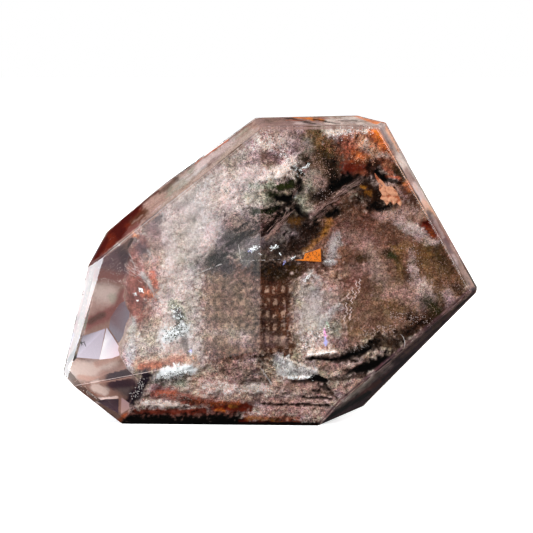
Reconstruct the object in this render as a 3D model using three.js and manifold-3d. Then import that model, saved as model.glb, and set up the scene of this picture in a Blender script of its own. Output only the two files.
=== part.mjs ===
// Garden quartz: one polished piece of clear rock crystal that stands on a flat cut foot.
// Millimetres, +Z up. The origin is on the resting face, under the middle of the stone's box.
// The front of the stone looks along -Y, and a facet is laid the way a cutter lays it: it
// turns away from a facet that is already there, about the edge that the two share.
import * as THREE from 'three';
import { mergeVertices } from 'three/addons/utils/BufferGeometryUtils.js';
import Module from 'manifold-3d';

// Shortest step that the cutting keeps.
const finest = 0.01;

// Overall size of the rough block that the stone is cut from, and how far behind the origin
// its back ridge lies.
const block = { width: 60, depth: 40, height: 50 };
const backRidgeDepth = 11.4;

// Corners of the facets as the front view shows them, as [x, z]. Each lies on the facet that
// uses it first, so its depth follows from that facet.
const corner = {
  ridgeTop: [-0.95, 32.0],
  ridgeFoot: [-1.15, 8.35],
  topLeft: [-0.55, 32.45],
  topRight: [11.55, 32.4],
  rightEdge: [20.8, 16.25],
  rightTip: [21.8, 14.55],
  footMeeting: [6.4, 5.0],
  footEnd: [7.8, 2.95],
  leftTop: [-18.0, 18.4],
  leftFoot: [-22.1, 4.8],
  lowerLeft: [-21.3, 4.2],
  frontLowLeft: [-22.15, 4.85],
  footLeft: [-16.2, 0],
  footRight: [5.25, 0],
  crownLeft: [-1.55, 33.4],
  crownRight: [9.65, 33.6],
  crownCorner: [12.7, 32.85],
  shoulderHigh: [-11.85, 25.95],
  shoulderLow: [-18.0, 20.75],
  leftShoulder: [-19.9, 17.15],
  leftHeel: [-22.65, 5.25],
  leftToe: [-22.2, 4.55],
  rightCorner: [22.65, 15.0],
  rightHeel: [22.6, 14.3],
  lowerRight: [10.4, 1.5],
};

// How far each facet turns from its neighbour, in degrees.
const turn = {
  frontLeft: 15,
  shoulderBevel: 57,
  backShoulder: 56,
  backFlank: 46,
  backToe: 80,
  backFootLeft: 98,
  backFootRight: 34,
  backRightLow: 50,
  backTip: 50,
  backRight: 60,
  backCorner: 44,
  backTop: 40,
  backFaceLeft: 11,
  backFaceRight: 14,
  backFaceLow: 24,
  backFaceHigh: 20,
};

// The main front face leans a little to the right and upwards, and holds this point.
const frontLean = { right: 6, up: 6 };
const frontPoint = new THREE.Vector3(8, -9.5, 17.1);

// Lines on the flat back that its four broad faces turn about, as [x, z] pairs.
const backRidge = [[1.5, 9], [-1.5, 24]];
const backLowLine = [[-12, 9.5], [12, 8]];
const backHighLine = [[-12, 22], [12, 25]];

// A point inside the stone, which tells outwards from inwards, and one far in front of it.
const middle = new THREE.Vector3(0, 0, 16);
const viewer = new THREE.Vector3(0, -400, 16);

const wasm = await Module();
wasm.setup();

// The point of a facet that the front view shows at [x, z].
function on(plane, [x, z]) {
  const { normal, constant } = plane;
  return new THREE.Vector3(x, -(normal.x * x + normal.z * z + constant) / normal.y, z);
}

// The facet with this normal, turned to face out of the stone, through a point.
function facet(normal, point) {
  const plane = new THREE.Plane().setFromNormalAndCoplanarPoint(normal.normalize(), point);
  return plane.distanceToPoint(middle) > 0 ? plane.negate() : plane;
}

function facetThrough(a, b, c) {
  return facet(b.clone().sub(a).cross(c.clone().sub(a)), a);
}

// Turns a facet about the edge a-b by an angle. The part of the facet on the side of the
// kept point stays outermost, and the new facet falls away beyond the edge.
function turned(plane, a, b, degrees, kept) {
  const axis = b.clone().sub(a).normalize();
  const along = axis.clone().cross(plane.normal);
  const inwards = kept.clone().sub(a).dot(along) > 0 ? along : along.negate();
  const angle = THREE.MathUtils.degToRad(degrees);
  const normal = plane.normal.clone().multiplyScalar(Math.cos(angle));
  return facet(normal.addScaledVector(inwards, -Math.sin(angle)), a);
}

function frontFacets() {
  const right = THREE.MathUtils.degToRad(frontLean.right);
  const up = THREE.MathUtils.degToRad(frontLean.up);
  const normal = new THREE.Vector3(
    Math.sin(right) * Math.cos(up), -Math.cos(right) * Math.cos(up), Math.sin(up));
  const frontRight = facet(normal, frontPoint);
  const frontLeft = turned(
    frontRight, on(frontRight, corner.ridgeTop), on(frontRight, corner.ridgeFoot),
    turn.frontLeft, middle);
  const frontFoot = facetThrough(
    on(frontRight, corner.ridgeFoot), on(frontRight, corner.footMeeting),
    on(frontLeft, corner.lowerLeft));
  const frontCorner = facetThrough(
    on(frontRight, corner.footMeeting), on(frontRight, corner.rightTip),
    on(frontFoot, corner.footEnd));
  return { frontRight, frontLeft, frontFoot, frontCorner };
}

// The narrow facets round the front, each between a front facet and the stone's girdle.
function bevelFacets({ frontRight, frontLeft, frontFoot, frontCorner }) {
  const shoulderBevel = turned(
    frontLeft, on(frontLeft, corner.leftTop), on(frontLeft, corner.ridgeTop),
    turn.shoulderBevel, middle);
  const leftEnd = facetThrough(
    on(frontLeft, corner.leftTop), on(frontLeft, corner.leftFoot),
    on(shoulderBevel, corner.leftShoulder));
  const crownBevel = facetThrough(
    on(frontRight, corner.topLeft), on(frontRight, corner.topRight),
    on(shoulderBevel, corner.crownLeft));
  const rightBevel = facetThrough(
    on(frontRight, corner.topRight), on(frontRight, corner.rightEdge),
    on(crownBevel, corner.crownCorner));
  const lowerBevel = facetThrough(
    on(frontCorner, corner.footEnd), on(frontCorner, corner.rightTip),
    on(frontFoot, corner.footRight));
  return { shoulderBevel, leftEnd, crownBevel, rightBevel, lowerBevel };
}

// The facets behind the girdle: each meets a front facet along one side of the outline.
function flankFacets({ frontFoot }, { shoulderBevel, leftEnd, crownBevel, rightBevel, lowerBevel }) {
  const outline = [
    [crownBevel, corner.crownLeft, corner.crownRight, turn.backTop],
    [crownBevel, corner.crownRight, corner.crownCorner, turn.backCorner],
    [rightBevel, corner.crownCorner, corner.rightCorner, turn.backRight],
    [rightBevel, corner.rightCorner, corner.rightHeel, turn.backTip],
    [lowerBevel, corner.rightHeel, corner.lowerRight, turn.backRightLow],
    [lowerBevel, corner.lowerRight, corner.footRight, turn.backFootRight],
    [frontFoot, corner.footLeft, corner.frontLowLeft, turn.backFootLeft],
    [leftEnd, corner.leftToe, corner.leftHeel, turn.backToe],
    [shoulderBevel, corner.shoulderLow, corner.shoulderHigh, turn.backFlank],
    [shoulderBevel, corner.shoulderHigh, corner.crownLeft, turn.backShoulder],
  ];
  const backLeft = facetThrough(
    on(leftEnd, corner.leftHeel), on(shoulderBevel, corner.leftShoulder),
    on(shoulderBevel, corner.shoulderLow));
  return [backLeft, ...outline.map(([plane, a, b, degrees]) => (
    turned(plane, on(plane, a), on(plane, b), degrees, viewer)))];
}

// The back: four broad faces that turn away from a flat back about lines on it.
function backFacets() {
  const flat = facet(new THREE.Vector3(0, 1, 0), new THREE.Vector3(0, backRidgeDepth, 0));
  const fold = ([a, b], degrees, outwards) => {
    const [p, q] = [on(flat, a), on(flat, b)];
    const away = q.clone().sub(p).cross(flat.normal).normalize();
    if (away.dot(outwards) < 0) away.negate();
    const angle = THREE.MathUtils.degToRad(degrees);
    const normal = flat.normal.clone().multiplyScalar(Math.cos(angle));
    return facet(normal.addScaledVector(away, Math.sin(angle)), p);
  };
  return [
    fold(backRidge, turn.backFaceLeft, new THREE.Vector3(-1, 0, 0)),
    fold(backRidge, turn.backFaceRight, new THREE.Vector3(1, 0, 0)),
    fold(backLowLine, turn.backFaceLow, new THREE.Vector3(0, 0, -1)),
    fold(backHighLine, turn.backFaceHigh, new THREE.Vector3(0, 0, 1)),
  ];
}

// A closed geometry as a solid that can be cut.
function solidOf(geometry) {
  const bare = geometry.clone();
  bare.deleteAttribute('normal');
  bare.deleteAttribute('uv');
  const merged = mergeVertices(bare);
  return new wasm.Manifold(new wasm.Mesh({
    numProp: 3,
    vertProperties: merged.attributes.position.array,
    triVerts: new Uint32Array(merged.index.array),
  }));
}

// Everything in front of a facet, as a block whose near side lies on the facet.
function wasteOf(plane) {
  const side = 4 * Math.max(block.width, block.depth, block.height);
  const waste = new THREE.BoxGeometry(side, side, side);
  const facing = new THREE.Quaternion().setFromUnitVectors(new THREE.Vector3(0, 0, 1), plane.normal);
  const centre = plane.projectPoint(middle, new THREE.Vector3());
  centre.addScaledVector(plane.normal, side / 2);
  waste.applyMatrix4(new THREE.Matrix4().compose(centre, facing, new THREE.Vector3(1, 1, 1)));
  return solidOf(waste);
}

// The rough block stands on its foot at z = 0, and every facet takes its waste off.
function cutStone(facets) {
  const rough = new THREE.BoxGeometry(block.width, block.depth, block.height);
  rough.translate(0, 0, block.height / 2);
  const cut = facets.reduce((stone, plane) => stone.subtract(wasteOf(plane)), solidOf(rough));
  return cut.asOriginal().simplify(finest);
}

function meshOf(stone, name, material) {
  const { vertProperties, triVerts } = stone.getMesh();
  const indexed = new THREE.BufferGeometry();
  indexed.setAttribute('position', new THREE.BufferAttribute(vertProperties, 3));
  indexed.setIndex(new THREE.BufferAttribute(triVerts, 1));
  const geometry = indexed.toNonIndexed();
  geometry.computeVertexNormals();
  geometry.computeBoundingBox();
  const centre = geometry.boundingBox.getCenter(new THREE.Vector3());
  geometry.translate(-centre.x, -centre.y, 0);
  const mesh = new THREE.Mesh(geometry, material);
  mesh.name = name;
  return mesh;
}

const front = frontFacets();
const bevels = bevelFacets(front);
const stone = cutStone([
  ...Object.values(front),
  ...Object.values(bevels),
  ...flankFacets(front, bevels),
  ...backFacets(),
]);

// Clear quartz, seen over the pinkish minerals that fill it.
const quartz = new THREE.MeshStandardMaterial({ color: 0xa08a80, roughness: 0.06, metalness: 0 });

const gardenQuartz = new THREE.Group();
gardenQuartz.add(meshOf(stone, 'quartz_crystal', quartz));

export default gardenQuartz;
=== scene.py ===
# Garden quartz: a clear, faceted crystal over the small landscape of minerals that it grew round.
# Places inside the stone are in mm, in the stone's own frame: x right, y into the picture, z up.
import math
import random

import bmesh
import bpy
import numpy as np
from mathutils import Matrix, Vector, noise


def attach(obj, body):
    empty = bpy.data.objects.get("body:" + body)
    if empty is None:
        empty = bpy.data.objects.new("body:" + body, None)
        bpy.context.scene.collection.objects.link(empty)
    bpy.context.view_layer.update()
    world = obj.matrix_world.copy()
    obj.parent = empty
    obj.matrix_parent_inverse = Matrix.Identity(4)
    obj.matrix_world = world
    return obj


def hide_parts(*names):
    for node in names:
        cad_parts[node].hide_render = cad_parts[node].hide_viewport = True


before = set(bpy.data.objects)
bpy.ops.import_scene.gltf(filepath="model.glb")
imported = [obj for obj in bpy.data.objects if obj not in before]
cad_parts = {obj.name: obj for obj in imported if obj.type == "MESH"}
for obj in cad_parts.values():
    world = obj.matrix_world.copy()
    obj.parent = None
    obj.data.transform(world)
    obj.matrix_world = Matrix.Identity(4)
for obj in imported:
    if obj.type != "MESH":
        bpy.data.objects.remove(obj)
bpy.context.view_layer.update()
mm = 0.001
stoneNode = "quartz_crystal"
chance = random.Random(7)
print("frame loaded:", sorted(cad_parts))


# Shader building

class Wire:
    # a socket that can be added, multiplied and compared like a number
    def __init__(self, finish, socket):
        self.finish = finish
        self.socket = socket

    def maths(self, operation, *values):
        return self.finish.node("ShaderNodeMath", {"operation": operation}, dict(enumerate(values)))

    def __add__(self, other):
        return self.maths("ADD", self, other)

    def __mul__(self, other):
        return self.maths("MULTIPLY", self, other)

    def __rsub__(self, other):
        return self.maths("SUBTRACT", other, self)

    __radd__ = __add__

    def step(self, low, high):
        # 0 at low, 1 at high, smooth in between; low may be the larger one
        return self.finish.node(
            "ShaderNodeMapRange", {"interpolation_type": "SMOOTHSTEP"},
            {"Value": self, "From Min": low, "From Max": high})


class Finish:
    # one material or world, and the ways to add nodes to it
    def __init__(self, owner):
        owner.use_nodes = True
        self.owner = owner
        self.tree = owner.node_tree
        self.tree.nodes.clear()

    def node(self, kind, settings=None, inputs=None, output=0):
        made = self.tree.nodes.new(kind)
        for key, value in (settings or {}).items():
            setattr(made, key, value)
        for key, value in (inputs or {}).items():
            if isinstance(value, Wire):
                self.tree.links.new(value.socket, made.inputs[key])
            else:
                made.inputs[key].default_value = value
        return Wire(self, made.outputs[output]) if made.outputs else None

    def mix(self, share, first, second, how="MIX"):
        return self.node(
            "ShaderNodeMix", {"data_type": "RGBA", "blend_type": how}, {0: share, 6: first, 7: second}, 2)

    def places(self, stretch=(1, 1, 1)):
        # the point of the surface in mm, stretched for grain that runs one way
        spot = self.node("ShaderNodeTexCoord", output="Object")
        return self.node("ShaderNodeVectorMath", {"operation": "MULTIPLY"}, {
            0: spot, 1: tuple(s / mm for s in stretch)})

    def part(self, vector, axis):
        return self.node("ShaderNodeSeparateXYZ", None, {0: vector}, "XYZ".index(axis))

    def mottle(self, size, detail=3, stretch=(1, 1, 1), rough=0.6):
        # soft noise from 0 to 1 whose blotches are about size mm across
        return self.node("ShaderNodeTexNoise", None, {
            "Vector": self.places(stretch), "Scale": 1 / size, "Detail": detail, "Roughness": rough})

    def hues(self, colour, layers):
        # the colour made stronger and weaker in blotches, as a whole ("Fac") or each of its parts by
        # itself ("Color"); layers of (size in mm, strength, which)
        for size, strength, which in layers:
            noise = self.node("ShaderNodeTexNoise", None, {
                "Vector": self.places(), "Scale": 1 / size, "Detail": 2.0}, which)
            spread = self.node("ShaderNodeVectorMath", {"operation": "MULTIPLY_ADD"}, {
                0: noise, 1: (strength,) * 3, 2: (0.5 - strength / 2,) * 3})
            colour = self.mix(1.0, colour, spread, "OVERLAY")
        return colour

    def grains(self, size, stretch=(1, 1, 1), crooked=0.05):
        # one random value from 0 to 1 for each grain of about size mm, with more or less crooked rims
        sway = self.node("ShaderNodeTexNoise", None, {
            "Vector": self.places(), "Scale": 0.9 / size}, "Color")
        bent = self.node("ShaderNodeMix", {"data_type": "VECTOR"}, {
            0: crooked, 4: self.places(stretch), 5: sway}, 1)
        cells = self.node("ShaderNodeTexVoronoi", None, {"Vector": bent, "Scale": 1 / size}, "Color")
        return self.part(cells, "X")

    def wave(self, axis, period, sway):
        # -1 to 1 and back over each period, in mm, pushed about by sway
        phase = self.part(self.places(), axis) * (2 * math.pi / period) + sway
        return self.node("ShaderNodeMath", {"operation": "SINE"}, {0: phase})

    def mask(self, name):
        return self.node("ShaderNodeAttribute", {"attribute_name": name}, output="Fac")

    def tint(self, name):
        return self.node("ShaderNodeAttribute", {"attribute_name": name}, output="Color")

    def bump(self, height, depth):
        return self.node("ShaderNodeBump", None, {
            "Height": height, "Strength": 1.0, "Distance": depth * mm})

    def surface(self, inputs):
        shader = self.node("ShaderNodeBsdfPrincipled", None, inputs)
        self.node("ShaderNodeOutputMaterial", None, {"Surface": shader})
        return self.owner


def finishOf(name):
    return Finish(bpy.data.materials.new(name))


def rgb(red, green, blue):
    # a colour given as it looks on screen, from 0 to 255, as the shader wants it
    def linear(part):
        part /= 255
        return part / 12.92 if part <= 0.04045 else ((part + 0.055) / 1.055) ** 2.4
    return (linear(red), linear(green), linear(blue), 1.0)


# Mesh helpers

def newPiece(name, mesh, materials):
    piece = bpy.data.objects.new(name, mesh)
    bpy.context.scene.collection.objects.link(piece)
    mesh.materials.clear()
    for material in materials:
        mesh.materials.append(material)
    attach(piece, "root")
    return piece


def meshOf(name, corners, faces):
    mesh = bpy.data.meshes.new(name)
    mesh.from_pydata([tuple(c) for c in corners], [], [tuple(f) for f in faces])
    mesh.update()
    return mesh


def readFlat(items, name, width, kind=np.float32):
    flat = np.empty(len(items) * width, kind)
    items.foreach_get(name, flat)
    return flat.reshape(-1, width)


def setColours(mesh, name, colours):
    layer = mesh.attributes.new(name, "FLOAT_COLOR", "POINT")
    full = np.ones((len(colours), 4), np.float32)
    full[:, :3] = colours
    layer.data.foreach_set("color", full.ravel())


def setMask(mesh, name, values):
    layer = mesh.attributes.new(name, "FLOAT", "POINT")
    layer.data.foreach_set("value", np.asarray(values, np.float32))


def ripple(points, size, octaves=1, seed=0.0, fade=0.8, finer=2.1):
    # noise from about -1 to 1 at each point, with blotches about size mm across; each octave is
    # finer than the one before it, and fades
    shift = Vector((seed, seed * 1.7, -seed))
    def at(p):
        return noise.fractal(Vector(p) / size + shift, fade, finer, octaves)
    return np.array([at(p) for p in points])


def ramp(values, low, high):
    share = np.clip((values - low) / (high - low), 0, 1)
    return share * share * (3 - 2 * share)


# Clear crystal

crystalPart = {
    "weld": 0.002,           # mm, corners nearer than this are one
    "flat": 0.6,             # degrees, triangles that differ by less are one facet
    "edgeWidth": 0.15,       # mm, the fine worn edge between two facets
    "edgeSteps": 2,
    "facing": -0.05,         # y of the normal of a facet that only just shows from the front
    "refraction": 1.544,
    "tintPerMetre": 6.0,     # how fast the faint warm tint builds up along the light's way
    "tint": (0.80, 0.70, 0.64, 1.0),
    "waves": (2.5, 0.5),     # mm across, what polishing leaves on the facets
    "fineWaves": 0.25,       # height of the small ones by that of the large ones
    "waviness": 0.016,       # mm
    "edgeClear": 0.55,       # how much of a worn edge still lets light through
    "edgeHue": (1, 0.97, 0.95, 1),
    "chipSize": 0.3,         # mm
    "chipDepth": 0.05,       # mm
}
sightLine = np.array((0.0, 0.9976, -0.0698))   # the look from the front, 4 degrees down


def crystalPolygons():
    # the CAD stone with its flat facets whole again
    stone = bmesh.new()
    stone.from_mesh(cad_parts[stoneNode].data)
    bmesh.ops.remove_doubles(stone, verts=stone.verts, dist=crystalPart["weld"] * mm)
    bmesh.ops.dissolve_limit(
        stone, angle_limit=math.radians(crystalPart["flat"]), verts=stone.verts, edges=stone.edges)
    return stone


def facetPlanes():
    # outward normal and distance, in mm, of each facet of the crystal
    stone = crystalPolygons()
    stone.normal_update()
    planes = [(np.array(f.normal), float(f.normal.dot(f.calc_center_median())) / mm) for f in stone.faces]
    stone.free()
    return planes


def facingFront():
    # the facets that the front view shows
    return [(n, d) for n, d in facets if n[1] < crystalPart["facing"]]


def depthOn(facet, x, z):
    # y of the point of a facet's plane at (x, z)
    normal, distance = facet
    return (distance - normal[0] * x - normal[2] * z) / normal[1]


def frontDepth(x, z):
    # y of the stone's surface that the front view shows at (x, z)
    return max(depthOn(facet, x, z) for facet in facingFront())


def refracted(normal):
    # the way that the level look from the front takes inside, behind a facet with this normal
    ratio = 1 / crystalPart["refraction"]
    facing = -(normal @ sightLine)[..., None]
    return sightLine * ratio + normal * (ratio * facing - np.sqrt(1 - ratio ** 2 * (1 - facing ** 2)))


def seenFromFront(points):
    # where the front view shows each point, as x and z on the facet before it
    x, y, z = points.T
    facing = facingFront()
    depths = np.array([depthOn(facet, x, z) for facet in facing])
    way = refracted(np.array([n for n, d in facing])[depths.argmax(0)])
    run = (y - depths.max(0)) / way[:, 1]
    return x - way[:, 0] * run, z - way[:, 2] * run


def seenOn(x, z, plane):
    # the point of a plane inside the stone that the front view shows at (x, z)
    front = max(facingFront(), key=lambda facet: depthOn(facet, x, z))
    spot = np.array([x, depthOn(front, x, z), z])
    way = refracted(front[0])
    return spot + way * (plane[1] - plane[0] @ spot) / (plane[0] @ way)


def clearFinish(look, inputs):
    # a surface that lets light in, over the tint that the light takes on inside
    shader = look.node("ShaderNodeBsdfPrincipled", None, {"IOR": crystalPart["refraction"], **inputs})
    tint = look.node("ShaderNodeVolumeAbsorption", None, {
        "Color": crystalPart["tint"], "Density": crystalPart["tintPerMetre"]})
    look.node("ShaderNodeOutputMaterial", None, {"Surface": shader, "Volume": tint})
    return look.owner


def polishedFinish():
    look = finishOf("clear_quartz")
    large, small = (look.mottle(size, 2) for size in crystalPart["waves"])
    waves = large + small * crystalPart["fineWaves"]
    return clearFinish(look, {
        "Base Color": (1, 1, 1, 1), "Roughness": 0.0, "Transmission Weight": 1.0,
        "Normal": look.bump(waves, crystalPart["waviness"])})


def wornEdgeFinish():
    look = finishOf("worn_edge")
    chipped = look.mottle(crystalPart["chipSize"], 3)
    return clearFinish(look, {
        "Base Color": crystalPart["edgeHue"], "Roughness": 0.25 + chipped * 0.3,
        "Transmission Weight": crystalPart["edgeClear"],
        "Normal": look.bump(chipped, crystalPart["chipDepth"])})


def makeCrystal():
    stone = crystalPolygons()
    worn = bmesh.ops.bevel(
        stone, geom=stone.edges[:], offset=crystalPart["edgeWidth"] * mm, offset_type="WIDTH",
        segments=crystalPart["edgeSteps"], profile=0.5, affect="EDGES", clamp_overlap=True)
    for face in worn["faces"]:
        face.material_index = 1
    bmesh.ops.triangulate(stone, faces=[f for f in stone.faces if len(f.verts) > 4])
    mesh = bpy.data.meshes.new("crystal_body")
    stone.to_mesh(mesh)
    stone.free()
    piece = newPiece("crystal_body", mesh, [polishedFinish(), wornEdgeFinish()])
    piece.visible_shadow = False  # the studio's light reaches the minerals inside
    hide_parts(stoneNode)
    return piece


# Minerals inside: the colour of each as it looks on screen, and how grainy it is
minerals = {
    "sand": (rgb(190, 163, 150), 0.9),
    "paleSand": (rgb(206, 184, 175), 0.5),
    "veil": (rgb(204, 188, 182), 0.1),
    "mist": (rgb(180, 160, 152), 0.35),
    "rose": (rgb(238, 210, 203), 0.5),
    "cream": (rgb(246, 224, 212), 0.7),
    "white": (rgb(250, 252, 252), 0.4),
    "frost": (rgb(216, 206, 202), 0.6),
    "lilac": (rgb(214, 186, 180), 0.9),
    "pink": (rgb(192, 152, 138), 0.8),
    "mauve": (rgb(126, 86, 70), 0.7),
    "heather": (rgb(174, 138, 128), 0.6),
    "taupe": (rgb(130, 98, 76), 0.7),
    "cocoa": (rgb(146, 112, 101), 0.9),
    "brown": (rgb(96, 56, 38), 0.7),
    "umber": (rgb(60, 34, 18), 0.7),
    "darkUmber": (rgb(40, 18, 4), 0.4),
    "plum": (rgb(104, 74, 80), 0.2),
    "wine": (rgb(132, 76, 70), 0.3),
    "darkPlum": (rgb(62, 44, 54), 0.2),
    "slate": (rgb(98, 86, 86), 0.7),
    "darkSlate": (rgb(54, 44, 46), 0.8),
    "olive": (rgb(118, 84, 40), 0.8),
    "darkOlive": (rgb(48, 32, 8), 0.6),
    "moss": (rgb(44, 48, 18), 0.7),
    "sage": (rgb(166, 160, 142), 0.8),
    "black": (rgb(4, 1, 0), 0.05),
    "redBrown": (rgb(158, 74, 36), 0.7),
    "rust": (rgb(150, 76, 62), 0.5),
    "clay": (rgb(190, 126, 94), 0.8),
    "apricot": (rgb(224, 158, 122), 0.6),
    "brick": (rgb(200, 100, 66), 0.7),
    "maroon": (rgb(78, 10, 2), 0.15),
    "darkRed": (rgb(112, 34, 14), 0.3),
    "orange": (rgb(255, 140, 70), 0.5),
    "fire": (rgb(240, 130, 36), 0.4),
    "amber": (rgb(172, 108, 36), 0.4),
    "peach": (rgb(250, 186, 148), 0.6),
    # painted glints: colours that glow, for sparkles of light in clear grains
    "glowPink": (rgb(250, 160, 215), 0.1),
    "glowBlue": (rgb(190, 190, 255), 0.1),
    "glowGreen": (rgb(170, 225, 185), 0.1),
    # colours of the window's painted reflections
    "paneWhite": (rgb(255, 252, 255), 0.0),
    "paneBlush": (rgb(238, 214, 224), 0.0),
    "panePale": (rgb(208, 200, 214), 0.0),
    "paneLilac": (rgb(184, 174, 190), 0.0),
    "paneSlate": (rgb(122, 114, 124), 0.0),
    "paneNavy": (rgb(44, 32, 40), 0.0),
    "paneMauve": (rgb(168, 136, 138), 0.0),
}

# Minerals with a painted glow, their own paint given off as light, which stands in for the light that
# clear and polished grains catch, and how much
paintedGlow = {"white": 0.45, "cream": 0.2, "orange": 0.5, "fire": 0.5, "peach": 0.2, "brick": 0.25,
           "glowPink": 1.0, "glowBlue": 1.0, "glowGreen": 1.0}

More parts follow.
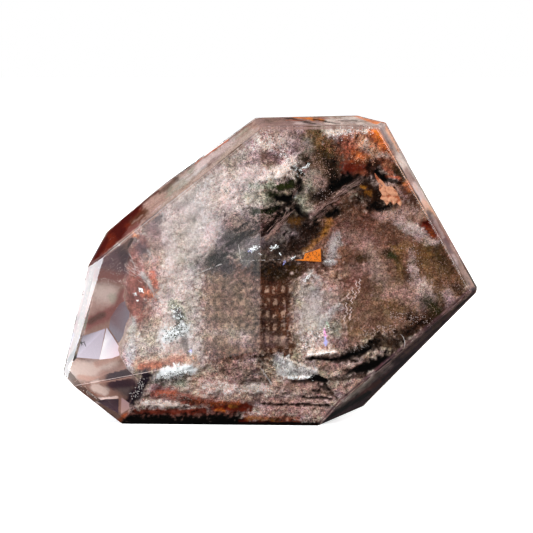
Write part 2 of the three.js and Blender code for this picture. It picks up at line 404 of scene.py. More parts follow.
# What the front shows through the large faces. Each stroke runs from (x, z) to (x, z), in mm, with
# a half-width, a mineral, how fully it covers, how soft its rim is, and how far it stands out.
landscape = [
    # broad ground
    (-6.5, 24.0, -9.0, 12.0, 7.0, "paleSand", 1.0, 0.4, 0.0),
    (-11.5, 19.0, -11.0, 10.0, 1.8, "rose", 0.55, 0.7, 0.0),
    (-4.0, 31.5, 3.0, 30.5, 2.6, "lilac", 0.9, 0.5, 0.1),
    (1.0, 31.6, 3.6, 30.2, 0.9, "rose", 0.7, 0.9, 0.1),
    (8.0, 19.0, 17.5, 19.0, 6.2, "mauve", 1.0, 0.4, 0.0),
    (9.0, 12.0, 16.0, 13.5, 3.6, "taupe", 0.95, 0.5, 0.0),
    (17.5, 17.5, 19.5, 15.0, 2.2, "olive", 0.45, 0.9, 0.0),
    (-5.0, 14.5, -5.0, 9.0, 2.9, "cocoa", 1.0, 0.5, -0.1),
    (-2.6, 15.0, -2.6, 8.8, 1.8, "cocoa", 1.0, 0.7, 0.0),
    (-6.2, 17.2, -1.0, 17.0, 1.5, "mauve", 1.0, 0.8, 0.0),
    (-0.8, 17.2, 3.4, 17.0, 1.5, "umber", 1.0, 0.7, 0.0),
    (-5.0, 14.6, -4.4, 9.4, 2.2, "taupe", 0.85, 0.8, 0.0),
    (-2.8, 14.8, -2.4, 9.6, 1.6, "taupe", 0.75, 0.8, 0.0),
    (-6.6, 17.0, -1.4, 16.7, 0.9, "umber", 0.45, 0.9, 0.0),
    (0.6, 15.5, 0.8, 8.8, 2.2, "brown", 1.0, 0.5, -0.3),
    (-0.4, 16.9, 3.2, 16.7, 0.9, "darkOlive", 0.75, 0.9, -0.1),
    (-7.0, 3.9, 5.0, 3.4, 2.1, "pink", 1.0, 0.4, 0.0),
    (-2.0, 3.6, 4.6, 3.5, 0.5, "sand", 0.7, 0.9, 0.1),
    (-4.6, 20.4, 2.5, 20.6, 2.3, "slate", 0.9, 0.7, -0.2),
    (-3.0, 19.4, 2.0, 19.6, 1.2, "slate", 0.7, 0.9, 0.0),
    # left face: pale ground, grey-green clouds, rose light
    (-8.8, 26.4, -7.6, 18.6, 1.7, "veil", 0.55, 0.9, 0.0),
    (-11.4, 21.6, -10.6, 18.0, 1.2, "veil", 0.4, 0.9, 0.0),
    (-9.6, 26.5, -4.0, 30.2, 1.2, "rose", 0.45, 0.8, 0.1),
    (-4.5, 27.2, -4.4, 24.6, 0.9, "rose", 0.9, 0.7, 0.2),
    (-2.8, 27.6, -0.6, 27.4, 0.9, "rose", 0.6, 0.7, 0.1),
    (-4.2, 28.7, -1.3, 29.2, 0.75, "cocoa", 0.55, 0.8, -0.1),
    (-4.3, 28.4, -4.0, 26.9, 0.5, "cocoa", 0.5, 0.8, -0.1),
    (-9.8, 21.0, -9.4, 17.5, 0.9, "sage", 0.2, 0.9, 0.0),
    (-5.6, 21.5, -6.4, 20.0, 0.6, "frost", 0.6, 0.8, 0.2),
    (-7.4, 27.2, -7.0, 22.0, 1.1, "frost", 0.35, 0.8, 0.0),
    (-2.6, 24.8, -0.6, 24.7, 0.75, "sage", 0.6, 0.6, 0.3),
    (-3.4, 23.6, -1.8, 24.8, 0.35, "cream", 0.6, 0.7, 0.2),
    # grey, streaky hollow in the middle
    (-3.9, 22.4, 0.3, 22.2, 1.1, "cocoa", 0.75, 0.6, -0.1),
    (-8.2, 17.2, -6.0, 18.6, 0.7, "slate", 0.6, 0.9, -0.1),
    (-5.9, 18.4, -4.6, 17.3, 0.95, "darkSlate", 0.9, 0.9, -0.3),
    (-5.4, 18.0, -4.7, 17.5, 0.5, "darkUmber", 0.6, 0.9, -0.2),
    (-6.6, 17.0, -3.6, 19.8, 0.8, "darkSlate", 0.6, 0.9, -0.2),
    (-7.2, 19.4, -6.4, 21.4, 0.9, "rose", 0.7, 0.8, 0.1),
    (-4.6, 19.6, -2.8, 21.2, 0.18, "darkSlate", 0.9, 0.5, -0.5),
    (-3.4, 20.2, -1.2, 21.6, 0.16, "darkSlate", 0.9, 0.5, -0.5),
    (-3.8, 21.2, -2.4, 22.2, 0.14, "darkUmber", 0.8, 0.5, -0.4),
    (-2.6, 18.0, -1.4, 19.6, 0.7, "slate", 0.9, 0.5, 0.1),
    (-1.0, 18.7, 2.8, 19.3, 0.9, "umber", 0.7, 0.6, -0.2),
    (-0.9, 20.9, 1.2, 22.9, 0.25, "darkUmber", 0.95, 0.5, -0.5),
    (-0.4, 20.4, 1.6, 22.4, 0.18, "heather", 0.8, 0.5, 0.1),
    (-0.2, 21.2, 0.4, 21.9, 0.2, "black", 0.9, 0.5, -0.5),
    # pale bank above it, with green and black growths at its foot
    (3.3, 29.4, 0.9, 27.6, 0.75, "cream", 0.95, 0.6, 0.5),
    (2.6, 28.6, 2.6, 27.0, 0.6, "cream", 0.85, 0.6, 0.4),
    (1.4, 27.4, -0.7, 26.8, 0.45, "cream", 0.7, 0.7, 0.3),
    (0.4, 29.3, -0.8, 29.1, 0.65, "brown", 0.65, 0.9, -0.2),
    (0.9, 28.6, -0.2, 28.4, 0.3, "brown", 0.6, 0.8, -0.2),
    (0.5, 31.8, 2.4, 31.9, 0.5, "heather", 0.7, 0.7, 0.0),
    (-2.0, 26.0, 0.4, 26.1, 0.45, "sage", 0.8, 0.7, 0.1),
    (0.9, 25.9, 2.4, 26.2, 0.5, "moss", 1.0, 0.5, 0.2),
    (0.0, 25.2, 0.7, 24.9, 0.35, "moss", 0.9, 0.6, -0.2),
    (0.4, 24.6, 2.8, 24.8, 0.9, "moss", 0.8, 0.9, -0.2),
    (0.8, 24.6, 2.2, 24.6, 0.4, "black", 1.0, 0.8, -0.6),
    (1.8, 24.4, 3.2, 25.6, 0.3, "black", 0.9, 0.9, -0.6),
    (2.7, 24.9, 3.1, 25.9, 0.12, "frost", 0.8, 0.6, 0.0),
    (-1.8, 23.35, -0.6, 23.4, 0.3, "moss", 0.9, 0.5, -0.3),
    (-0.2, 23.3, 0.9, 23.7, 0.35, "moss", 1.0, 0.5, -0.4),
    (0.9, 23.1, 1.7, 24.0, 0.3, "darkUmber", 0.9, 0.6, -0.5),
    (2.6, 23.9, 3.6, 22.9, 0.6, "darkUmber", 0.95, 0.9, -0.5),
    (2.9, 23.6, 3.4, 23.0, 0.3, "black", 0.8, 0.9, -0.5),
    (2.6, 28.0, 3.6, 27.4, 0.3, "darkUmber", 0.9, 0.6, -0.4),
    (3.0, 27.0, 3.4, 25.8, 0.5, "darkOlive", 0.9, 0.8, -0.5),
    (3.2, 26.5, 3.3, 25.9, 0.25, "black", 0.8, 0.9, -0.4),
    # dark green and brown country right of it
    (4.6, 30.4, 8.4, 26.6, 2.4, "umber", 0.8, 0.9, 0.0),
    (4.8, 26.0, 9.0, 23.4, 1.8, "umber", 0.5, 0.9, 0.0),
    (5.0, 31.9, 6.2, 30.0, 1.1, "olive", 0.8, 0.9, -0.1),
    (7.0, 32.0, 7.5, 31.4, 0.4, "darkOlive", 0.7, 0.9, -0.1),
    (4.2, 30.6, 4.2, 29.4, 0.7, "sage", 0.5, 0.8, 0.0),
    (3.7, 29.3, 4.2, 28.7, 0.5, "darkOlive", 0.9, 0.9, -0.3),
    (5.6, 29.4, 6.4, 26.8, 1.1, "darkOlive", 0.85, 0.9, -0.4),
    (6.6, 28.2, 7.4, 26.6, 0.8, "darkUmber", 0.8, 0.9, -0.4),
    (7.2, 30.2, 7.6, 27.6, 0.7, "darkOlive", 0.7, 0.9, -0.2),
    (4.9, 28.8, 5.4, 27.4, 0.7, "taupe", 0.7, 0.9, 0.1),
    (4.6, 27.0, 4.3, 25.4, 0.75, "sage", 0.6, 0.9, 0.1),
    (5.2, 26.6, 6.0, 25.9, 0.7, "heather", 0.75, 0.9, 0.2),
    (3.7, 24.2, 4.3, 23.2, 0.8, "sage", 0.65, 0.9, 0.3),
    (4.6, 24.9, 6.4, 23.8, 0.8, "umber", 0.8, 0.9, -0.3),
    (2.0, 22.6, 4.4, 21.4, 0.9, "darkUmber", 0.85, 0.9, -0.5),
    (2.2, 22.4, 3.0, 22.2, 0.45, "amber", 0.45, 0.9, 0.0),
    (3.0, 19.9, 5.0, 21.4, 1.0, "umber", 0.85, 0.8, -0.5),
    (4.8, 22.8, 7.4, 23.4, 0.55, "darkOlive", 0.9, 0.9, -0.4),
    (6.2, 22.9, 7.4, 23.3, 0.28, "black", 0.9, 0.9, -0.6),
    # cream bank under the crown, red lump, orange corner
    (6.8, 31.9, 10.6, 32.2, 0.8, "cream", 0.95, 0.8, 0.2),
    (7.4, 31.0, 9.0, 31.5, 0.45, "rose", 0.85, 0.9, 0.2),
    (9.4, 31.4, 10.8, 31.8, 0.4, "heather", 0.7, 0.9, 0.0),
    (7.8, 30.6, 9.0, 28.8, 1.1, "brown", 0.9, 0.9, 0.1),
    (9.2, 30.6, 12.0, 29.4, 1.3, "brick", 0.75, 0.9, 0.3),
    (9.4, 30.8, 12.0, 29.4, 1.1, "clay", 0.9, 0.9, 0.2),
    (8.8, 29.9, 9.6, 29.3, 0.4, "redBrown", 0.7, 0.9, 0.1),
    (10.9, 30.3, 11.9, 29.3, 0.4, "brick", 0.8, 0.9, 0.1),
    (9.8, 30.8, 11.4, 29.9, 0.7, "apricot", 0.5, 0.9, 0.1),
    (9.9, 30.6, 11.4, 30.2, 0.5, "peach", 0.6, 0.9, 0.2),
    (10.0, 29.9, 10.4, 30.9, 0.3, "rose", 0.7, 0.9, 0.2),
    (9.6, 29.2, 10.4, 28.9, 0.5, "orange", 0.6, 0.9, 0.2),
    (10.6, 29.8, 12.0, 29.6, 0.4, "sand", 0.6, 0.9, 0.1),
    (11.0, 32.1, 12.8, 30.0, 0.6, "orange", 0.9, 0.9, 0.3),
    (11.5, 31.9, 12.1, 31.2, 0.3, "fire", 0.9, 0.9, 0.3),
    (10.8, 31.6, 11.4, 31.0, 0.4, "redBrown", 0.7, 0.9, 0.1),
    (12.4, 30.2, 13.4, 29.2, 0.45, "redBrown", 0.7, 0.9, 0.1),
    (11.5, 29.1, 12.7, 29.3, 0.4, "rose", 0.6, 0.9, 0.2),
    (8.5, 28.1, 11.0, 28.0, 0.7, "darkRed", 0.95, 0.9, 0.1),
    (9.0, 28.8, 10.4, 28.6, 0.35, "redBrown", 0.7, 0.9, 0.1),
    (8.8, 27.6, 10.2, 27.4, 0.3, "maroon", 0.6, 0.9, 0.0),
    (11.8, 28.2, 14.0, 27.4, 0.6, "umber", 0.8, 0.9, -0.1),
    (10.6, 28.6, 11.6, 28.3, 0.4, "darkUmber", 0.8, 0.9, -0.1),
    (9.3, 27.3, 10.4, 27.4, 0.4, "redBrown", 0.5, 0.9, 0.1),
    (12.2, 28.7, 13.5, 28.2, 0.5, "redBrown", 0.8, 0.9, 0.2),
    (12.6, 28.3, 13.3, 28.2, 0.3, "clay", 0.8, 0.9, 0.2),
    (12.5, 27.9, 13.2, 27.5, 0.25, "brick", 0.5, 0.9, 0.2),
    (13.7, 27.9, 14.6, 26.9, 0.6, "darkOlive", 0.9, 0.9, -0.1),
    # painted shade in the recess along the peach flake's upper edge: dark umber and black
    (10.9, 27.8, 12.2, 26.6, 0.55, "darkUmber", 0.95, 0.9, -0.5),
    (11.6, 27.6, 12.6, 26.9, 0.3, "black", 1.0, 0.8, -0.6),
    (12.2, 26.8, 14.3, 26.4, 0.22, "black", 0.9, 0.9, -0.6),
    (12.6, 27.1, 14.0, 26.9, 0.16, "brick", 0.8, 0.7, 0.1),
    (14.2, 26.2, 15.6, 24.8, 0.7, "brown", 0.9, 0.8, -0.1),
    (14.6, 26.4, 15.2, 25.6, 0.3, "orange", 0.35, 0.9, 0.0),
    # black gorge with folded grey-brown layers across it
    (10.2, 26.2, 11.4, 24.2, 1.2, "darkUmber", 1.0, 0.9, -0.4),
    (9.6, 25.4, 10.8, 24.6, 0.6, "umber", 0.8, 0.9, -0.1),
    # painted shadow under the peach flake: dark umber and black
    (11.0, 23.5, 12.8, 23.7, 0.45, "darkUmber", 1.0, 0.9, -0.5),
    (11.6, 23.5, 12.6, 23.6, 0.2, "black", 1.0, 0.8, -0.4),
    (5.6, 24.9, 9.2, 26.6, 0.8, "darkUmber", 0.95, 0.9, -0.5),
    (6.9, 25.9, 8.8, 26.6, 0.4, "black", 0.9, 0.9, -0.6),
    (8.8, 27.0, 7.6, 26.4, 0.35, "black", 0.8, 0.9, -0.4),
    (4.4, 23.0, 9.9, 26.9, 0.24, "heather", 0.85, 0.7, 0.0),
    (4.6, 22.7, 9.4, 26.1, 0.10, "black", 0.8, 0.7, -0.2),
    (5.2, 22.8, 9.2, 25.5, 0.22, "cocoa", 0.8, 0.8, 0.0),
    (6.4, 24.4, 8.4, 24.6, 0.5, "brown", 0.7, 0.9, -0.1),
    (8.2, 23.6, 9.6, 24.3, 0.5, "umber", 0.8, 0.9, -0.1),
    (9.9, 25.95, 10.25, 25.75, 0.2, "amber", 0.9, 0.8, 0.0),
    (10.6, 25.4, 10.9, 25.2, 0.25, "amber", 0.5, 0.9, 0.0),
    # right-hand ground
    (8.2, 21.4, 10.4, 19.6, 1.2, "pink", 0.45, 0.9, 0.0),
    (10.8, 19.4, 11.8, 17.4, 0.9, "heather", 0.5, 0.9, 0.0),
    (12.6, 21.6, 13.6, 20.2, 0.9, "brown", 0.6, 0.9, -0.1),
    (8.4, 18.4, 10.2, 17.8, 0.7, "darkOlive", 0.5, 0.9, 0.0),
    (8.0, 16.8, 10.0, 17.0, 0.8, "pink", 0.4, 0.9, 0.0),
    (13.6, 19.2, 14.2, 16.6, 0.6, "olive", 0.6, 0.9, 0.0),
    (15.4, 18.8, 15.8, 15.0, 0.45, "lilac", 0.45, 0.9, 0.1),
    (17.0, 19.4, 18.4, 18.0, 0.9, "darkOlive", 0.5, 0.9, 0.0),
    (17.6, 16.8, 18.4, 15.6, 0.6, "brown", 0.4, 0.9, 0.0),
    (12.4, 13.4, 14.0, 12.6, 0.8, "olive", 0.5, 0.9, 0.0),
    (14.8, 13.0, 15.8, 12.2, 0.6, "umber", 0.5, 0.9, 0.0),
    (10.2, 13.2, 11.6, 12.2, 0.9, "mauve", 0.6, 0.9, 0.0),
    (7.6, 22.0, 11.0, 22.2, 0.9, "brown", 0.55, 0.8, 0.0),
    (12.0, 22.4, 14.4, 23.2, 0.7, "pink", 0.6, 0.9, 0.1),
    (14.3, 22.0, 16.6, 20.7, 0.75, "lilac", 0.7, 0.9, 0.2),
    (15.0, 21.7, 16.4, 21.0, 0.3, "rose", 0.7, 0.9, 0.2),
    (14.6, 23.4, 16.2, 22.8, 0.6, "heather", 0.6, 0.9, 0.1),
    (17.1, 20.0, 18.0, 19.9, 0.35, "lilac", 0.7, 0.9, 0.1),
    (16.9, 21.8, 17.8, 20.9, 0.5, "darkRed", 1.0, 0.6, -0.2),
    (17.3, 21.3, 17.7, 20.8, 0.25, "redBrown", 0.8, 0.7, -0.1),
    (16.9, 22.0, 17.2, 21.7, 0.2, "maroon", 0.9, 0.7, -0.2),
    (14.6, 19.4, 17.0, 18.6, 1.0, "olive", 0.45, 0.9, 0.0),
    (12.6, 18.8, 13.7, 18.2, 0.5, "darkOlive", 0.8, 0.9, -0.1),
    (12.9, 18.6, 13.5, 18.3, 0.28, "moss", 0.8, 0.8, -0.2),
    (14.5, 16.7, 14.8, 16.2, 0.45, "umber", 0.8, 0.9, -0.1),
    (9.6, 18.2, 10.6, 18.4, 0.4, "darkOlive", 0.7, 0.7, -0.1),
    (11.0, 17.2, 12.2, 16.0, 0.8, "heather", 0.7, 0.9, 0.1),
    (12.6, 14.6, 15.6, 14.0, 1.0, "pink", 0.55, 0.9, 0.0),
    (15.2, 17.2, 15.9, 16.9, 0.35, "lilac", 0.7, 0.9, 0.1),
    (18.2, 19.3, 19.6, 17.0, 0.7, "darkOlive", 0.6, 0.7, -0.1),
    (16.6, 15.0, 17.2, 13.2, 0.9, "lilac", 0.75, 0.8, 0.1),
    (19.2, 14.4, 19.6, 12.9, 0.6, "lilac", 0.65, 0.7, 0.1),
    (20.2, 14.9, 21.2, 14.4, 0.5, "umber", 0.8, 0.6, -0.2),
    (17.0, 13.2, 18.4, 12.0, 0.8, "darkOlive", 0.8, 0.9, -0.1),
    (17.8, 12.9, 18.3, 12.3, 0.4, "moss", 0.8, 0.8, 0.0),
    (15.2, 11.9, 16.9, 11.0, 0.45, "umber", 0.8, 0.7, -0.4),
    (9.2, 16.2, 10.2, 15.0, 0.9, "wine", 0.4, 0.8, 0.0),
    (10.4, 15.0, 11.8, 14.6, 0.5, "umber", 0.5, 0.8, 0.0),
    (10.0, 11.2, 13.6, 11.6, 0.9, "mauve", 0.5, 0.9, 0.0),
    (13.4, 9.4, 18.4, 12.8, 0.9, "umber", 0.75, 0.9, 0.0),
    (14.6, 9.6, 17.6, 11.6, 0.5, "darkUmber", 0.8, 0.9, -0.2),
    (17.2, 13.4, 18.2, 12.4, 0.5, "moss", 0.6, 0.9, 0.0),
    # streaks beside the orange flake
    (6.3, 22.2, 5.8, 21.0, 0.4, "amber", 0.6, 0.9, 0.0),
    (5.6, 20.6, 4.0, 19.2, 0.32, "amber", 0.5, 0.9, 0.0),
    (6.6, 16.35, 6.8, 16.3, 0.22, "amber", 0.95, 0.6, 0.1),
    (7.2, 20.6, 6.4, 18.0, 0.6, "frost", 0.5, 0.9, 0.1),
    (7.1, 20.2, 6.7, 19.2, 0.25, "frost", 0.5, 0.9, 0.1),
    (6.0, 17.8, 6.8, 17.9, 0.25, "frost", 0.6, 0.8, 0.1),
    (3.7, 15.7, 4.5, 16.6, 0.42, "frost", 0.85, 0.9, 0.2),
    (4.5, 16.7, 5.4, 16.0, 0.36, "frost", 0.85, 0.9, 0.2),
    # dome
    (5.6, 14.2, 5.4, 10.0, 2.6, "pink", 1.0, 0.7, 0.35),
    (4.8, 14.0, 4.6, 11.4, 1.8, "mist", 0.95, 0.9, 0.0),
    (6.6, 13.0, 7.0, 11.0, 1.2, "mist", 0.6, 0.9, 0.0),
    (4.4, 14.6, 4.2, 9.6, 1.3, "frost", 0.3, 0.8, 0.1),
    (6.2, 13.4, 6.8, 11.6, 0.9, "cocoa", 0.3, 0.9, 0.0),
    (5.2, 9.9, 5.0, 8.9, 1.5, "cream", 0.5, 0.8, 0.1),
    (7.4, 13.1, 5.4, 11.0, 0.5, "frost", 0.6, 0.9, 0.1),
    (4.1, 8.0, 6.9, 8.2, 0.28, "cream", 0.95, 0.6, 0.3),
    (7.2, 11.2, 7.0, 10.2, 0.5, "sage", 0.6, 0.8, 0.0),
    (8.0, 8.9, 9.0, 9.3, 0.6, "cocoa", 0.5, 0.8, 0.0),
    (5.7, 10.6, 6.0, 9.9, 0.10, "glowPink", 1.0, 0.5, 0.0),
    (5.95, 9.6, 6.0, 8.9, 0.13, "glowBlue", 1.0, 0.5, 0.0),
    (6.1, 11.3, 6.3, 10.9, 0.12, "glowGreen", 0.6, 0.9, 0.0),
    # black ledges under it
    (4.0, 7.5, 7.6, 7.35, 0.22, "darkUmber", 0.9, 0.7, -0.4),
    (4.4, 7.45, 7.2, 7.3, 0.1, "black", 0.9, 0.7, -0.4),
    (7.2, 7.3, 11.4, 8.7, 0.55, "darkUmber", 0.9, 0.8, -0.6),
    (7.8, 7.45, 10.9, 8.5, 0.22, "black", 1.0, 0.8, -0.4),
    (11.8, 9.2, 13.6, 8.6, 0.75, "umber", 0.9, 0.6, -0.3),
    (9.7, 6.4, 13.2, 7.3, 0.8, "darkUmber", 0.9, 0.9, -0.2),
    (9.7, 6.3, 12.3, 7.0, 0.62, "black", 1.0, 0.7, -0.3),
    (8.0, 5.9, 11.0, 6.5, 0.28, "black", 0.9, 0.8, -0.3),
    (7.6, 5.7, 11.8, 8.0, 0.12, "pink", 0.8, 0.7, 0.1),
    (6.8, 5.2, 10.4, 5.5, 0.35, "umber", 0.8, 0.9, -0.2),
    (5.2, 5.7, 7.3, 2.9, 0.14, "darkUmber", 0.9, 0.7, -0.1),
    (5.2, 6.6, 8.0, 6.5, 0.45, "cocoa", 0.8, 0.6, 0.1),
    (8.0, 4.2, 9.8, 4.6, 0.6, "pink", 0.9, 0.6, 0.2),
    (10.9, 5.9, 11.3, 5.95, 0.14, "cream", 0.9, 0.6, 0.2),
    (13.8, 9.9, 16.0, 10.9, 0.5, "umber", 0.7, 0.7, -0.3),
    # plum, slate and rust at the clear window's edge
    (-15.4, 18.6, -13.8, 19.6, 0.8, "wine", 0.9, 0.8, 0.0),
    (-15.0, 18.0, -13.9, 16.4, 1.0, "rust", 0.8, 0.9, 0.1),
    (-15.6, 19.6, -14.8, 20.3, 0.5, "darkPlum", 0.7, 0.6, 0.0),
    (-14.7, 20.7, -14.4, 20.6, 0.22, "orange", 0.7, 0.7, 0.1),
    (-13.9, 20.4, -13.4, 19.6, 0.45, "wine", 0.8, 0.6, 0.1),
    (-14.0, 19.2, -13.2, 17.6, 0.7, "plum", 0.8, 0.9, 0.0),
    (-13.8, 18.8, -13.4, 18.0, 0.35, "darkPlum", 0.7, 0.9, 0.0),
    (-13.3, 22.0, -12.4, 21.2, 0.8, "plum", 0.7, 0.9, 0.0),
    (-12.7, 22.6, -12.0, 22.4, 0.5, "darkPlum", 0.8, 0.8, 0.0),
    (-12.9, 20.8, -12.2, 19.4, 0.7, "wine", 0.4, 0.9, 0.0),
    (-12.6, 19.8, -12.0, 16.0, 0.6, "heather", 0.6, 0.7, 0.0),
    (-12.9, 17.4, -12.9, 11.4, 1.1, "pink", 0.95, 0.9, 0.0),
    (-15.0, 17.2, -14.2, 16.4, 0.5, "cocoa", 0.5, 0.8, 0.0),
    (-12.8, 16.6, -12.5, 15.4, 0.4, "brick", 0.9, 0.6, 0.1),
    (-14.7, 16.2, -14.6, 12.0, 1.35, "rust", 1.0, 0.8, 0.2),
    (-14.0, 15.6, -13.6, 13.0, 0.7, "darkRed", 0.35, 0.9, 0.0),
    (-15.4, 15.0, -15.2, 12.6, 0.45, "darkRed", 0.5, 0.9, 0.0),
    (-14.9, 13.9, -14.6, 12.4, 0.4, "darkRed", 0.6, 0.9, 0.0),
    (-14.4, 15.4, -13.9, 14.9, 0.4, "darkRed", 0.5, 0.9, 0.0),
    (-13.6, 14.2, -12.6, 14.2, 0.5, "brick", 0.9, 0.6, 0.2),
    (-14.4, 12.6, -13.9, 10.8, 0.6, "rust", 0.95, 0.8, 0.2),
    (-13.9, 16.6, -12.9, 15.2, 0.22, "frost", 0.8, 0.6, 0.3),
    (-15.0, 11.5, -15.2, 6.0, 0.45, "frost", 0.7, 0.7, 0.1),
    (-13.4, 10.6, -12.4, 8.4, 0.9, "sand", 0.8, 0.7, 0.0),
    (-14.2, 6.6, -9.2, 7.3, 0.8, "apricot", 0.5, 0.9, 0.1),
    (-13.9, 6.4, -9.8, 7.1, 0.5, "rust", 0.6, 0.9, 0.1),
    (-13.9, 6.4, -12.0, 6.6, 0.4, "brick", 0.55, 0.9, 0.1),
    # bright mirror-like growths: pale minerals, their mirror shine painted as white with a painted glow
    (-10.4, 13.2, -9.4, 11.2, 0.65, "sage", 0.9, 0.7, 0.1),
    (-10.0, 12.5, -9.6, 12.1, 0.3, "darkSlate", 0.7, 0.7, 0.0),
    (-11.2, 9.9, -9.4, 10.3, 0.75, "white", 0.9, 0.9, 0.05),
    (-10.2, 11.6, -9.6, 11.0, 0.4, "frost", 0.6, 0.9, 0.05),
    (-10.4, 10.4, -9.6, 10.9, 0.35, "white", 0.8, 0.8, 0.05),
    (-9.4, 9.3, -8.8, 7.8, 0.35, "darkOlive", 0.55, 0.9, 0.0),
    (-12.0, 5.4, -8.8, 6.1, 0.55, "white", 0.9, 0.7, 0.05),
    (-11.4, 6.0, -8.8, 6.4, 0.35, "white", 1.0, 0.5, 0.05),
    (-12.2, 4.8, -9.4, 4.6, 0.45, "sage", 0.75, 0.7, 0.1),
    (-8.6, 8.3, -8.5, 7.9, 0.10, "glowBlue", 0.8, 0.8, 0.1),
    (-8.5, 7.8, -8.4, 7.5, 0.10, "peach", 0.9, 0.8, 0.1),
    # foot: crust, rust, amber and the black base
    (-14.2, 3.0, -12.4, 4.2, 0.35, "lilac", 0.8, 0.7, 0.2),
    (-13.4, 5.6, -14.4, 3.7, 0.72, "paneNavy", 1.0, 0.9, 0.0),
    (-14.4, 3.7, -15.2, 2.5, 0.6, "paneNavy", 1.0, 0.9, 0.0),
    (-12.4, 3.5, -8.8, 3.1, 0.75, "rust", 0.85, 0.9, 0.1),
    (-12.2, 3.5, -10.4, 3.4, 0.4, "brick", 0.6, 0.9, 0.1),
    (-9.4, 2.7, -6.6, 2.6, 0.6, "rust", 0.85, 0.9, 0.1),
    (-8.6, 2.6, -7.4, 2.5, 0.25, "redBrown", 0.7, 0.9, 0.1),
    (-13.8, 2.4, -10.2, 2.2, 0.3, "cream", 0.8, 0.8, 0.3),
    (-14.6, 1.4, -7.2, 1.5, 0.35, "darkRed", 0.95, 0.5, 0.0),
    (-6.0, 1.9, -2.6, 1.9, 0.65, "darkRed", 1.0, 0.7, 0.0),
    (-6.4, 2.4, -3.4, 2.5, 0.3, "redBrown", 0.9, 0.8, 0.1),
    (-5.9, 1.5, -5.0, 1.5, 0.25, "fire", 0.6, 0.8, 0.1),
    (-4.4, 2.2, -3.6, 2.1, 0.2, "amber", 0.7, 0.8, 0.1),
    (-15.6, 0.9, -4.2, 1.1, 0.5, "darkRed", 0.8, 0.9, 0.0),
    (-15.4, 0.0, -3.4, 0.0, 1.15, "black", 1.0, 0.55, 0.0),
    (-3.6, 0.1, 0.2, -0.1, 0.5, "black", 1.0, 0.9, 0.0),
    (-3.0, 0.1, 5.0, -0.1, 0.55, "maroon", 0.95, 0.4, -0.1),
    (-2.6, 0.9, 3.0, 0.7, 0.3, "redBrown", 0.7, 0.8, 0.0),
    (-2.4, 0.9, 0.8, 0.5, 0.2, "amber", 0.5, 0.8, 0.0),
    (-7.2, 4.3, -0.5, 4.1, 0.7, "cream", 0.55, 0.8, 0.2),
    (-9.0, 4.2, -7.0, 3.4, 0.5, "cream", 0.4, 0.9, 0.1),
    (-5.0, 6.3, -2.0, 6.3, 0.8, "cocoa", 0.8, 0.6, 0.2),
    (-3.0, 4.8, 0.0, 4.9, 0.25, "umber", 0.7, 0.7, -0.2),
    (-1.2, 7.6, -0.7, 6.6, 0.4, "darkOlive", 0.6, 0.7, -0.2),
    (0.8, 7.2, 4.4, 5.8, 0.65, "frost", 1.0, 0.6, 0.1),
    (1.2, 6.2, 3.8, 5.6, 0.55, "frost", 0.9, 0.8, 0.1),
    (0.4, 8.0, 4.9, 6.2, 0.09, "cream", 0.8, 0.6, 0.1),
    (1.6, 5.4, 4.2, 5.5, 0.25, "cream", 0.8, 0.8, 0.1),
    (-6.2, 10.4, -2.4, 9.6, 0.8, "lilac", 0.5, 0.9, 0.0),
    (-0.4, 9.6, 1.2, 9.3, 0.7, "heather", 0.8, 0.9, 0.0),
    (-0.4, 12.0, 0.6, 11.6, 0.4, "cocoa", 0.5, 0.9, 0.0),
    (2.6, 4.9, 4.8, 5.0, 0.3, "darkUmber", 0.8, 0.8, -0.2),
    (4.4, 5.3, 6.0, 5.0, 0.34, "black", 1.0, 0.6, -0.3),
    (5.4, 4.4, 6.4, 4.1, 0.3, "black", 0.8, 0.8, -0.3),
    (4.6, 3.9, 6.6, 3.5, 0.2, "umber", 0.8, 0.6, -0.3),
    (-1.0, 2.35, 6.4, 2.25, 0.12, "darkUmber", 0.9, 0.5, -0.35),
    (3.6, 3.1, 6.6, 3.0, 0.13, "darkUmber", 0.8, 0.5, -0.35),
    (-0.6, 1.7, 5.8, 1.6, 0.35, "pink", 0.7, 0.6, 0.1),
]

gardenPart = {
    "cover": 0.85,            # mm of clear quartz over the minerals behind the broad faces
    "rimCover": 0.32,         # and behind the narrow facets round them
    "leastCover": 0.16,
    "broadFacet": 0.8,        # a facet whose normal runs this much along y is a broad face
    "meshSize": 0.13,         # mm between the points of the surface
    "windowFloor": 0.7,       # mm from the facets under and over the clear window at the left end
    "underWindow": (-0.62, 0.40, -0.68),           # the way those two facets look
    "overWindow": (-0.59, -0.38, 0.71),
    "windowBack": ((-15.2, -2.0), (-21.4, -4.4)),  # two points (x, y) of its back wall
    "windowOuter": ((-30, -2), (-30, 24)),         # (x, z), its corners beyond the stone
    "parting": -1.1,          # x where the left pieces meet the right ones, under the ridge
    "girdle": (-1.0, -0.12),  # y where the front pieces meet the back ones, and its rise along x
}

# The ragged side of the minerals towards the window, as (z, x) from the foot up
windowSide = [
    (-2.0, -16.4), (0.4, -16.0), (1.4, -15.4), (2.4, -15.3), (3.4, -14.9), (4.4, -14.5), (5.2, -14.6),
    (5.9, -15.3), (6.7, -15.8), (7.5, -16.3), (8.4, -16.2), (9.3, -15.7), (10.2, -15.5), (11.1, -14.9),
    (12.0, -14.9), (12.6, -15.4), (13.5, -15.7), (14.4, -15.4), (15.3, -15.8), (16.2, -15.2),
    (17.0, -15.6), (18.0, -15.0), (19.0, -15.4), (20.0, -14.8), (24.0, -14.8)]

